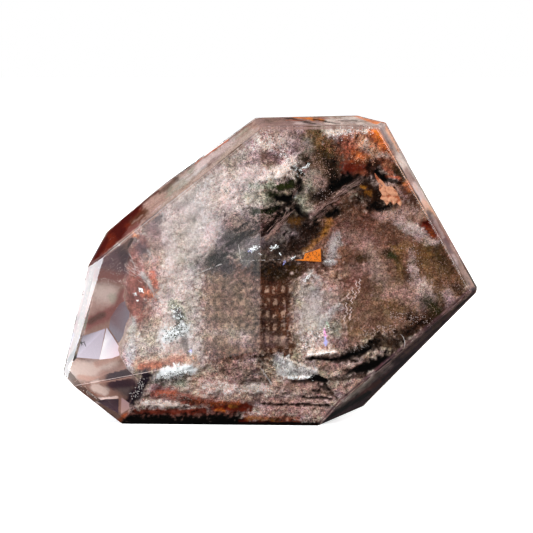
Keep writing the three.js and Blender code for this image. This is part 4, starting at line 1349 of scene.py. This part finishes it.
def makeGrains(surface):
    pile = Pile()
    fit = surface["points"][:, 1] < grainPart["front"]
    fit &= (surface["grain"] > grainPart["grainy"]) & (surface["far"] < grainPart["outside"])
    for index in chance.choices(np.flatnonzero(fit).tolist(), k=grainPart["count"]):
        spot = surface["points"][index]
        paint = surface["colours"][index]
        lift = chance.choice(grainPart["lifts"]) * surface["grain"][index]
        light = paint + (np.array(minerals["cream"][0][:3]) - paint) * lift
        tone = paint * grainPart["darkTone"] if chance.random() < grainPart["darkShare"] else light
        pile.crumb(spot, chance.uniform(*grainPart["size"]), tuple(tone))
    return pile.piece("mineral_grains", fleckFinish("mineral_grains", 0.5, 0.0, shine=0.0))


# Clusters: from (x, z) to (x, z), spread round that line, how many, length, width, mineral.
# A length of 0 makes crumbs, any other makes fibres.
clusters = [
    (-11.1, 9.8, -9.7, 10.4, 0.60, 90, 0.24, 0.06, "white"),
    (-11.3, 9.6, -9.4, 10.8, 0.90, 130, 0.0, 0.07, "moss"),
    (-10.2, 12.8, -9.4, 9.4, 0.60, 70, 0.3, 0.06, "moss"),
    (-10.6, 13.0, -9.4, 11.2, 0.45, 60, 0.40, 0.05, "darkSlate"),
    (-10.4, 12.6, -9.6, 11.6, 0.5, 50, 0.35, 0.06, "white"),
    (-11.8, 5.6, -8.7, 6.3, 0.45, 130, 0.24, 0.06, "white"),
    (-12.0, 5.3, -8.8, 5.9, 0.60, 80, 0.0, 0.07, "moss"),
    (-13.5, 5.2, -15.0, 2.8, 0.50, 60, 0.0, 0.065, "frost"),
    (-12.4, 5.0, -9.2, 5.2, 0.35, 60, 0.30, 0.05, "darkSlate"),
    (-8.6, 8.2, -8.5, 7.6, 0.12, 12, 0.20, 0.05, "white"),
    (7.3, 20.8, 6.4, 18.0, 0.40, 50, 0.55, 0.035, "frost"),
    (5.9, 17.85, 6.8, 18.0, 0.12, 22, 0.22, 0.04, "white"),
    (3.7, 15.8, 4.3, 16.5, 0.14, 26, 0.25, 0.05, "white"),
    (4.3, 16.6, 5.3, 16.1, 0.14, 26, 0.25, 0.05, "frost"),
    (3.1, 27.6, 4.3, 28.4, 0.13, 34, 0.30, 0.05, "white"),
    (2.3, 24.7, 3.2, 26.2, 0.15, 26, 0.40, 0.03, "heather"),
    (-2.1, 19.1, -1.4, 19.5, 0.28, 70, 0.0, 0.06, "white"),
    (-2.1, 19.1, -1.4, 19.6, 0.22, 22, 0.24, 0.035, "white"),
    (-2.2, 19.0, -1.9, 19.2, 0.16, 12, 0.16, 0.04, "glowBlue"),
    (-1.2, 18.8, -1.0, 18.6, 0.10, 10, 0.14, 0.03, "white"),
    (0.0, 19.3, 0.7, 19.6, 0.16, 40, 0.0, 0.05, "white"),
    (0.0, 19.2, 0.8, 19.5, 0.16, 18, 0.24, 0.035, "white"),
    (0.9, 18.9, 1.1, 18.6, 0.03, 5, 0.35, 0.06, "white"),
    (2.2, 18.2, 2.8, 18.5, 0.18, 16, 0.20, 0.05, "white"),
    (1.4, 17.6, 1.6, 17.9, 0.12, 9, 0.22, 0.05, "glowBlue"),
    (-3.4, 19.6, -3.1, 18.2, 0.07, 16, 0.45, 0.05, "frost"),
    (-8.3, 16.4, -5.0, 17.6, 0.02, 34, 0.40, 0.04, "frost"),
    (-3.2, 18.0, 2.6, 18.1, 0.02, 30, 0.22, 0.035, "frost"),
    (-11.6, 23.4, -11.5, 22.2, 0.07, 16, 0.50, 0.04, "frost"),
    (-13.9, 16.6, -12.3, 13.8, 0.16, 60, 0.60, 0.035, "frost"),
    (-15.2, 18.2, -13.6, 15.6, 0.30, 26, 0.60, 0.03, "frost"),
    (-13.3, 19.0, -12.7, 17.8, 0.14, 18, 0.50, 0.035, "frost"),
    (-14.7, 14.3, -14.5, 14.1, 0.14, 20, 0.0, 0.07, "white"),
    (-14.4, 13.6, -14.3, 13.5, 0.12, 10, 0.0, 0.06, "white"),
    (-14.15, 14.8, -13.8, 14.6, 0.20, 30, 0.0, 0.08, "white"),
    (-13.7, 13.9, -13.5, 13.6, 0.16, 10, 0.0, 0.05, "cream"),
    (-16.9, 19.25, -16.3, 19.55, 0.06, 12, 0.14, 0.06, "white"),
    (-18.4, 15.9, -15.4, 15.5, 0.25, 46, 0.0, 0.045, "cream"),
    (-18.2, 17.6, -15.6, 16.6, 0.90, 40, 0.0, 0.04, "cream"),
    (-18.4, 17.0, -15.6, 19.2, 1.20, 40, 0.7, 0.02, "heather"),
    (-15.4, 17.2, -13.2, 15.6, 0.70, 60, 0.8, 0.03, "rose"),
    (-21.0, 4.6, -19.0, 3.0, 0.50, 26, 0.0, 0.05, "cream"),
    (-18.0, 12.0, -16.0, 9.0, 1.20, 16, 0.0, 0.035, "cream"),
    (4.0, 7.9, 6.9, 8.15, 0.12, 90, 0.14, 0.06, "white"),
    (2.0, 5.4, 4.6, 5.5, 0.20, 100, 0.20, 0.06, "white"),
    (0.8, 7.0, 4.4, 5.6, 0.35, 60, 0.26, 0.04, "frost"),
    (-1.0, 6.5, 0.2, 4.7, 0.08, 30, 0.40, 0.05, "frost"),
    (-13.8, 2.2, -8.8, 2.2, 0.12, 130, 0.16, 0.06, "cream"),
    (-12.4, 3.4, -8.6, 3.0, 0.40, 160, 0.0, 0.05, "sand"),
    (-9.4, 2.8, -3.4, 2.2, 0.35, 120, 0.0, 0.045, "darkUmber"),
    (14.3, 22.0, 16.4, 20.8, 0.60, 200, 0.0, 0.05, "lilac"),
    (12.2, 22.8, 16.0, 23.4, 0.60, 160, 0.0, 0.05, "lilac"),
    (17.0, 20.1, 18.0, 19.9, 0.40, 50, 0.0, 0.05, "rose"),
    (16.0, 17.4, 17.6, 12.8, 1.20, 200, 0.0, 0.04, "pink"),
    (15.0, 17.0, 15.9, 16.8, 0.40, 60, 0.0, 0.05, "rose"),
    (15.4, 19.6, 15.8, 15.6, 0.80, 120, 0.0, 0.045, "rose"),
    (20.0, 15.6, 21.6, 14.2, 0.60, 90, 0.0, 0.045, "pink"),
    (18.4, 17.6, 19.6, 13.4, 1.00, 150, 0.0, 0.04, "pink"),
    (13.0, 12.0, 17.6, 11.4, 0.80, 120, 0.0, 0.045, "rose"),
    (8.0, 22.0, 13.0, 19.0, 1.60, 260, 0.0, 0.04, "pink"),
    (6.8, 31.6, 11.2, 32.1, 0.60, 130, 0.0, 0.05, "white"),
    (8.6, 31.4, 12.8, 29.2, 1.20, 260, 0.0, 0.06, "darkUmber"),
    (6.6, 32.0, 10.6, 32.2, 0.60, 50, 0.0, 0.05, "darkUmber"),
    (9.8, 30.9, 10.9, 29.9, 0.60, 80, 0.0, 0.05, "cream"),
    (8.8, 29.0, 11.6, 28.8, 0.50, 90, 0.0, 0.055, "peach"),
    (9.0, 30.4, 12.0, 29.6, 0.80, 160, 0.0, 0.055, "apricot"),
    (8.2, 8.0, 11.0, 8.9, 0.30, 50, 0.0, 0.04, "frost"),
    (10.0, 10.4, 13.8, 10.4, 0.60, 90, 0.0, 0.05, "rose"),
    (5.4, 11.0, 7.4, 13.0, 0.35, 90, 0.24, 0.045, "frost"),
    (3.4, 8.6, 6.6, 10.6, 0.80, 120, 0.0, 0.045, "white"),
    (3.4, 9.0, 7.6, 11.4, 0.90, 150, 0.0, 0.055, "moss"),
    (-6.2, 25.4, 2.0, 26.6, 0.80, 130, 0.0, 0.055, "moss"),
    (-3.6, 24.2, 0.4, 22.6, 0.90, 170, 0.0, 0.06, "moss"),
    (-4.2, 21.2, 1.0, 22.6, 0.90, 260, 0.0, 0.06, "darkUmber"),
    (-4.4, 21.4, 0.4, 22.8, 0.90, 160, 0.0, 0.05, "sand"),
    (0.8, 7.0, 4.4, 5.6, 0.60, 90, 0.0, 0.05, "darkSlate"),
    (-4.6, 19.4, -1.4, 21.6, 0.60, 30, 1.2, 0.05, "darkSlate"),
    (-2.6, 20.6, 0.6, 22.6, 0.50, 26, 1.2, 0.05, "umber"),
    (-0.6, 20.4, 2.0, 23.0, 0.40, 34, 1.4, 0.05, "heather"),
    (4.6, 23.0, 9.4, 26.2, 0.50, 60, 1.3, 0.045, "heather"),
    (5.0, 23.2, 9.2, 26.4, 0.60, 40, 1.3, 0.05, "darkUmber"),
    (0.6, 30.0, 3.2, 27.0, 0.90, 110, 0.0, 0.05, "moss"),
    (1.2, 29.4, 3.2, 27.2, 0.70, 130, 0.0, 0.05, "white"),
    (-0.6, 31.4, 3.4, 29.6, 1.10, 120, 0.0, 0.05, "darkUmber"),
    (5.0, 31.8, 7.4, 29.0, 0.90, 160, 0.0, 0.055, "clay"),
    (3.4, 30.4, 6.4, 26.8, 1.00, 200, 0.0, 0.055, "pink"),
    (3.6, 27.6, 6.2, 24.6, 0.90, 130, 0.0, 0.045, "rose"),
]

fibrePart = {
    "bright": ("white", "glowBlue"),  # minerals that go into the bright pile, which gets a painted glow
    "lift": (0.02, 0.10),        # mm before the landscape
    "crumbSize": (0.5, 1.2),     # by the cluster's width
    "width": (0.6, 1.4),         # by the cluster's width
    "half": (0.3, 0.7),          # half a fibre's length, by the cluster's length
    "bend": 0.3,                 # by half its length
    "bulge": 0.02,               # mm forward at its middle
    "longFrom": 0.6,             # mm, fibres from this length lie nearly along the cluster
    "longTurn": 0.12,            # radians
    "turn": 0.25,                # radians, of the short ones
    "turnBySpread": 1.4,
}


def makeFibres(front):
    part = fibrePart
    bright, plain = Pile(), Pile()
    for x0, z0, x1, z1, spread, count, length, width, mineral in clusters:
        colour = minerals[mineral][0]
        pile = bright if mineral in part["bright"] else plain
        lean = math.atan2(z1 - z0, x1 - x0)
        short = length < part["longFrom"]
        turn = part["turn"] + spread * part["turnBySpread"] if short else part["longTurn"]
        for _ in range(count):
            share = chance.random()
            x = x0 + (x1 - x0) * share + chance.gauss(0, spread / 2)
            z = z0 + (z1 - z0) * share + chance.gauss(0, spread / 2)
            if length == 0:
                y = front.at(x, z) - chance.uniform(*part["lift"])
                pile.crumb((x, y, z), width * chance.uniform(*part["crumbSize"]), colour)
                continue
            angle = lean + chance.gauss(0, turn)
            half = length * chance.uniform(*part["half"])
            ux, uz = math.cos(angle), math.sin(angle)
            bend = chance.uniform(-part["bend"], part["bend"]) * half
            y = front.at(x, z) - chance.uniform(*part["lift"])
            middle = (x + bend * uz, y - part["bulge"], z - bend * ux)
            ends = [(x + ux * way, y, z + uz * way) for way in (-half, half)]
            pile.fibre([ends[0], middle, ends[1]], width * chance.uniform(*part["width"]), colour)
    # the bright pile: white fibres and crumbs with a painted glow for their glint
    bright.piece("painted_glint_fibres", fleckFinish("painted_glint_fibres", 0.2, 0.35))
    plain.piece("fine_fibres", fleckFinish("fine_fibres", 0.4, 0.0, shine=0.05))


def underFacet(spots, depth):
    # points this deep, in mm, under the facet that the front shows at each (x, z)
    return [(x, frontDepth(x, z) + depth, z) for x, z in spots]


# Fine scratches just under the right-hand face: where each begins, and how it wriggles
scratchPart = {
    "starts": [(8.4, 14.6), (8.9, 15.2), (9.3, 15.9), (9.7, 16.1), (8.2, 13.6), (8.8, 14.2), (8.3, 12.9),
               (8.7, 13.1), (8.0, 12.2), (9.2, 14.8), (8.6, 12.3), (9.6, 15.3)],
    "steps": 5,
    "drop": 0.23,      # mm down at each step
    "swing": 0.13,     # mm to either side
    "unevenDrop": (0.85, 1.1),
    "unevenSwing": (0.5, 1.2),
    "depth": 0.10,     # mm under the facet
    "width": 0.07,     # mm
    "arc": [(14.1, 10.0), (14.4, 9.7), (14.55, 9.3), (14.6, 8.9), (14.5, 8.5)],
    "arcDepth": 0.3,   # mm
    "arcWidth": 0.05,  # mm
}


def makeScratches():
    pile = Pile()
    for x, z in scratchPart["starts"]:
        line = []
        for step in range(scratchPart["steps"]):
            side = 1 if step % 2 else -1
            swing = scratchPart["swing"] * side * chance.uniform(*scratchPart["unevenSwing"])
            drop = step * scratchPart["drop"] * chance.uniform(*scratchPart["unevenDrop"])
            line.append((x + swing, z - drop))
        pile.fibre(underFacet(line, scratchPart["depth"]), scratchPart["width"], minerals["rose"][0])
    curve = underFacet(scratchPart["arc"], scratchPart["arcDepth"])
    pile.fibre(curve, scratchPart["arcWidth"], minerals["frost"][0])
    # the scratches have a faint painted glow
    return pile.piece("fine_scratches", fleckFinish("fine_scratches", 0.3, 0.15))


# Painted highlights: fine bright lines just under the worn edges, where the edges catch the light, from
# (x, z) to (x, z) with a width and a mineral; and small dark chips, each as x, z and size
edgePart = {
    "lines": [
        (-21.3, 4.28, -8.6, 6.82, 0.035, "rose"), (11.65, 32.1, 17.2, 22.5, 0.045, "peach"),
        (-17.9, 18.45, -0.7, 32.3, 0.035, "frost"), (17.2, 22.5, 20.7, 16.4, 0.03, "rose"),
        (-0.96, 31.9, -1.02, 25.0, 0.024, "pink"), (-1.02, 25.0, -1.14, 8.6, 0.016, "heather")],
    "steps": 24,
    "depth": 0.13,       # mm
    "tremble": 0.01,     # mm
    "chips": [(-20.42, 14.40, 0.10), (-20.38, 14.15, 0.07), (-22.42, 5.42, 0.10)],
    "chipDepth": 0.03,   # mm
}


def makeEdgeHighlights():
    pile = Pile()
    count, tremble = edgePart["steps"], edgePart["tremble"]
    # painted highlight: a bright, glowing line along the edge
    for x0, z0, x1, z1, width, mineral in edgePart["lines"]:
        line = []
        for i in range(count + 1):
            x, z = x0 + (x1 - x0) * i / count, z0 + (z1 - z0) * i / count
            depth = frontDepth(x, z) + edgePart["depth"] + chance.uniform(-tremble, tremble)
            line.append((x, depth, z))
        pile.fibre(line, width, minerals[mineral][0])
    for x, z, size in edgePart["chips"]:
        pile.crumb(underFacet([(x, z)], edgePart["chipDepth"])[0], size, minerals["darkSlate"][0])
    return pile.piece("edge_highlights_and_chips", fleckFinish("edge_highlights_and_chips", 0.3, 0.35))


# Painted reflections and painted light: flat bright shapes at the back of the window, which glow, each
# corner as the front shows it, and its mineral
panes = [
    [(-15.7, 13.7, "paneSlate"), (-15.2, 12.8, "paneSlate"), (-14.4, 11.8, "paneSlate"),
     (-14.6, 10.8, "paneSlate"), (-15.6, 9.5, "paneSlate"), (-16.3, 8.3, "paneSlate"),
     (-17.7, 10.5, "paneSlate"), (-17.5, 11.7, "plum"), (-16.6, 13.1, "plum")],
    [(-20.6, 9.6, "paneSlate"), (-18.1, 10.45, "paneLilac"), (-18.75, 7.1, "panePale"),
     (-21.2, 7.3, "panePale")],
    [(-17.95, 10.55, "paneLilac"), (-17.3, 9.6, "panePale"), (-16.35, 8.05, "paneBlush"),
     (-16.6, 7.5, "paneBlush"), (-17.4, 7.2, "paneBlush"), (-18.75, 7.05, "paneWhite"),
     (-18.35, 8.8, "paneWhite")],
    [(-19.1, 2.55, "paneNavy"), (-17.9, 2.8, "paneNavy"), (-16.6, 2.75, "paneNavy"),
     (-16.6, 1.0, "darkPlum"), (-17.3, 1.25, "darkPlum")],
    [(-16.3, 2.9, "paneMauve"), (-15.0, 1.9, "paneMauve"), (-16.3, 1.1, "heather")],
]
panePart = {
    "before": 0.15,      # mm before the window's wall or floor
    "thick": 0.05,       # mm
    # black strokes at the window's left rim, from (x, z) to (x, z)
    "hatch": [(-20.9, 9.3, -20.3, 8.6), (-20.6, 9.4, -20.5, 8.5), (-20.3, 9.2, -20.0, 8.4),
              (-20.7, 8.8, -20.1, 9.1)],
    "hatchDepth": 0.25,  # mm
    "hatchWidth": 0.11,  # mm
}


def inWindow(x, z, before):
    # the point this much before the window's wall or floor that the front view shows at (x, z)
    wall, distance = windowWall()
    floor, level = facetFacing(gardenPart["underWindow"])
    level -= gardenPart["windowFloor"]
    spots = [seenOn(x, z, (wall, distance - before)), seenOn(x, z, (floor, level - before))]
    return insideStone(np.array([min(spots, key=lambda spot: spot[1])]), gardenPart["leastCover"])[0]


def makeReflectionPanes():
    pile = Pile()
    for pane in panes:
        corners = [inWindow(x, z, panePart["before"]) for x, z, mineral in pane]
        pile.plate(corners, panePart["thick"], [minerals[mineral][0] for x, z, mineral in pane])
    for x0, z0, x1, z1 in panePart["hatch"]:
        line = [(x0, z0), ((x0 + x1) / 2, (z0 + z1) / 2), (x1, z1)]
        pile.fibre(
            underFacet(line, panePart["hatchDepth"]), panePart["hatchWidth"], minerals["black"][0])
    # painted light: the panes give off most of their own paint as glow and show little of the light that
    # falls on them
    return pile.piece("window_reflection_panes", fleckFinish("window_reflection_panes", 0.3, 0.85, share=0.3))


flakePart = {
    "depth": 0.45,       # mm under the facet
    "orange": [(2.6, 18.05), (3.6, 18.15), (3.75, 18.75), (4.5, 18.95), (5.45, 19.3), (5.5, 17.85),
               (4.0, 17.95)],
    "orangeThick": 0.06,
    "specks": 70,        # dark red specks on the orange flake
    "speckSize": 0.05,
    "speckX": (3.8, 5.4),
    "speckZ": (18.0, 19.0),
    "peach": [
        (11.30, 27.45), (11.75, 26.85), (12.25, 26.45), (12.55, 25.95), (13.25, 25.90), (13.70, 25.45),
        (13.95, 24.85), (14.30, 24.20), (14.15, 23.75), (13.70, 24.20), (13.40, 23.90), (13.05, 24.35),
        (12.65, 23.85), (12.35, 24.40), (11.90, 24.60), (12.15, 25.05), (11.80, 25.60), (11.80, 26.20),
        (11.40, 26.90)],
    "peachThick": 0.35,
    "peachLean": (12.8, 0.12),     # x that it leans about, and how much
    "peachMesh": 0.06,
    "ridges": (0.38, 0.12),        # mm, size and height of the ridges on it
    # painted shade on it: where it darkens, from which value to which, and how much
    "furrowShade": (-0.1, 0.5, 0.9),        # painted shade down into the furrows, by noise
    "leftSideShade": (-12.5, -11.6, 0.35),   # painted shade towards its left, by less x in mm
}


def makeFlakes():
    part = flakePart
    orange = Pile()
    near = underFacet(part["orange"], part["depth"])
    orange.plate(near, part["orangeThick"], [minerals["fire"][0]] * len(near))
    for _ in range(part["specks"]):
        spot = (chance.uniform(*part["speckX"]), chance.uniform(*part["speckZ"]))
        orange.crumb(underFacet([spot], part["depth"])[0], part["speckSize"], minerals["darkRed"][0])
    # the orange flake has a faint painted glow
    orange.piece("orange_flake", fleckFinish("orange_flake", 0.3, 0.1))
    leaf = Pile()
    axis, lean = part["peachLean"]
    near = [(x, y - (x - axis) * lean, z) for x, y, z in underFacet(part["peach"], part["depth"])]
    leaf.plate(near, part["peachThick"], [minerals["apricot"][0]] * len(near))
    blank = meshOf("peach_flake", np.array(leaf.corners) * mm, leaf.faces)
    fine = remeshed(blank, part["peachMesh"])
    fine.name = "peach_flake"
    points = readFlat(fine.vertices, "co", 3).astype(float) / mm
    size, height = part["ridges"]
    ridges = ripple(points, size, 3, 4.0)
    points[:, 1] -= ridges * height
    fine.vertices.foreach_set("co", (points * mm).astype(np.float32).ravel())
    peach, shade = (np.array(minerals[m][0][:3]) for m in ("apricot", "redBrown"))
    paintedShade = 0
    for values, (low, high, strength) in ((-ridges, part["furrowShade"]), (-points[:, 0], part["leftSideShade"])):
        paintedShade = paintedShade + ramp(values, low, high) * strength
    paintedShade = np.clip(paintedShade, 0, 1)
    setColours(fine, "paint", peach + (shade - peach) * paintedShade[:, None])
    fine.polygons.foreach_set("use_smooth", [True] * len(fine.polygons))
    newPiece("peach_flake", fine, [fleckFinish("peach_flake", 0.5, 0.0)])


# Studio

studioPart = {
    "lens": 200,              # mm, long enough to flatten the stone as the photo does
    "sensor": 36,             # mm
    "distance": 330,          # mm from the stone
    "elevation": 4,           # degrees above level
    "aim": (-0.39, 0.0, 16.7),
    "middle": (0, 0, 17),     # mm, what the lamps point at
    "floorRadius": 6.0,       # m
    "floorSides": 96,
    "floorDrop": 0.05,        # mm, a hair under the foot
    "floorNear": (60, 500),   # mm from the middle, where its own light begins to grow and ends
    "floorGlow": (rgb(205, 205, 205), (1, 1, 1, 1)),   # that light near the stone, and far from it
    "paper": 40,              # mm, its faint blotches
    "paperHues": (rgb(238, 238, 238), rgb(246, 246, 246)),
    # what the stone mirrors of the room: a dim rest and two soft patches, each with its way, the
    # degrees from it where it begins to fade and is gone, and its strength
    "dim": 0.05,
    "patches": (((-0.42, -0.90, 0.15), 12, 34, 0.9), ((0.84, 0.34, 0.44), 10, 40, 0.5)),
    # each lamp: way from the stone, distance and size in m, radiance, colour, seen in the facets or not
    "key": ((-0.738, -0.605, 0.254), 0.6, 0.29, 14, (0.90, 0.95, 1.0), True),
    "top": ((0.10, -0.50, 1.0), 0.7, 0.6, 6.6, (1.0, 1.0, 1.0), False),
    "fill": ((0.75, -0.45, 0.50), 0.8, 0.5, 4.5, (1.0, 0.98, 0.96), True),
    "back": ((0.30, 1.0, 0.12), 0.8, 0.6, 6.0, (1.0, 1.0, 1.0), False),
}


def makeCamera():
    lens = bpy.data.cameras.new("camera")
    lens.lens = studioPart["lens"]
    lens.sensor_width = studioPart["sensor"]
    lens.clip_start = 0.01
    lens.clip_end = 50
    camera = bpy.data.objects.new("camera", lens)
    bpy.context.scene.collection.objects.link(camera)
    tilt = math.radians(studioPart["elevation"])
    back = Vector((0, -math.cos(tilt), math.sin(tilt)))
    camera.location = (Vector(studioPart["aim"]) + back * studioPart["distance"]) * mm
    camera.rotation_mode = "QUATERNION"
    camera.rotation_quaternion = (-back).to_track_quat("-Z", "Y")
    bpy.context.scene.camera = camera


def makeLamp(name):
    direction, distance, size, radiance, colour, mirrored = studioPart[name]
    lamp = bpy.data.lights.new(name, "AREA")
    lamp.shape = "SQUARE"
    lamp.size = size
    lamp.color = colour
    lamp.energy = radiance * math.pi * size * size
    holder = bpy.data.objects.new(name, lamp)
    bpy.context.scene.collection.objects.link(holder)
    towards = Vector(direction).normalized()
    holder.location = Vector(studioPart["middle"]) * mm + towards * distance
    holder.rotation_mode = "QUATERNION"
    holder.rotation_quaternion = (-towards).to_track_quat("-Z", "Y")
    holder.visible_glossy = mirrored


def makeFloor():
    look = finishOf("studio_floor")
    radius = look.node("ShaderNodeVectorMath", {"operation": "LENGTH"}, {0: look.places()}, 1)
    paper = look.mottle(studioPart["paper"], 2)
    look.surface({
        "Base Color": look.mix(paper, *studioPart["paperHues"]), "Roughness": 0.9,
        "Specular IOR Level": 0.0, "Emission Strength": 1.0,
        "Emission Color": look.mix(radius.step(*studioPart["floorNear"]), *studioPart["floorGlow"])})
    sides, reach = studioPart["floorSides"], studioPart["floorRadius"]
    level = -studioPart["floorDrop"] * mm
    turns = np.linspace(0, 2 * math.pi, sides, endpoint=False)
    ring = [(math.cos(a) * reach, math.sin(a) * reach, level) for a in turns]
    floor = bpy.data.objects.new("studio_floor", meshOf("studio_floor", ring, [range(sides)]))
    bpy.context.scene.collection.objects.link(floor)
    floor.data.materials.append(look.owner)
    floor.visible_glossy = False  # the dark facets mirror a dark room, as in the photo


def makeRoom():
    # white round about for what the lens sees straight, dim for what the stone mirrors
    world = bpy.data.worlds.new("room")
    bpy.context.scene.world = world
    room = Finish(world)
    way = room.node("ShaderNodeTexCoord", output="Generated")
    glow = studioPart["dim"]
    for direction, narrow, wide, strength in studioPart["patches"]:
        aimed = room.node("ShaderNodeVectorMath", {"operation": "DOT_PRODUCT"}, {
            0: way, 1: tuple(Vector(direction).normalized())}, 1)
        patch = aimed.step(math.cos(math.radians(wide)), math.cos(math.radians(narrow)))
        glow = glow + patch * strength
    direct = room.node("ShaderNodeLightPath", output="Is Camera Ray")
    light = room.node("ShaderNodeBackground", None, {
        "Color": (1, 1, 1, 1), "Strength": direct + (1 - direct) * glow})
    room.node("ShaderNodeOutputWorld", None, {"Surface": light})


def setRenderer():
    scene = bpy.context.scene
    scene.view_settings.view_transform = "Standard"
    cycles = scene.cycles
    cycles.max_bounces = 20
    cycles.transmission_bounces = 16
    cycles.glossy_bounces = 10
    cycles.diffuse_bounces = 3
    cycles.caustics_reflective = False
    cycles.caustics_refractive = False


makeCamera()
facets = facetPlanes()
print("facets:", len(facets))
crystal = makeCrystal()
print("crystal:", len(crystal.data.polygons), "faces")
gardenLook = gardenFinish()
garden = makeGarden()
frontMap = FrontMap(garden["points"])
makeGrains(garden)
makeFibres(frontMap)
makeScratches()
makeEdgeHighlights()
makeReflectionPanes()
makeFlakes()
for lampName in ("key", "top", "fill", "back"):
    makeLamp(lampName)
makeFloor()
makeRoom()
setRenderer()
print("studio ready")
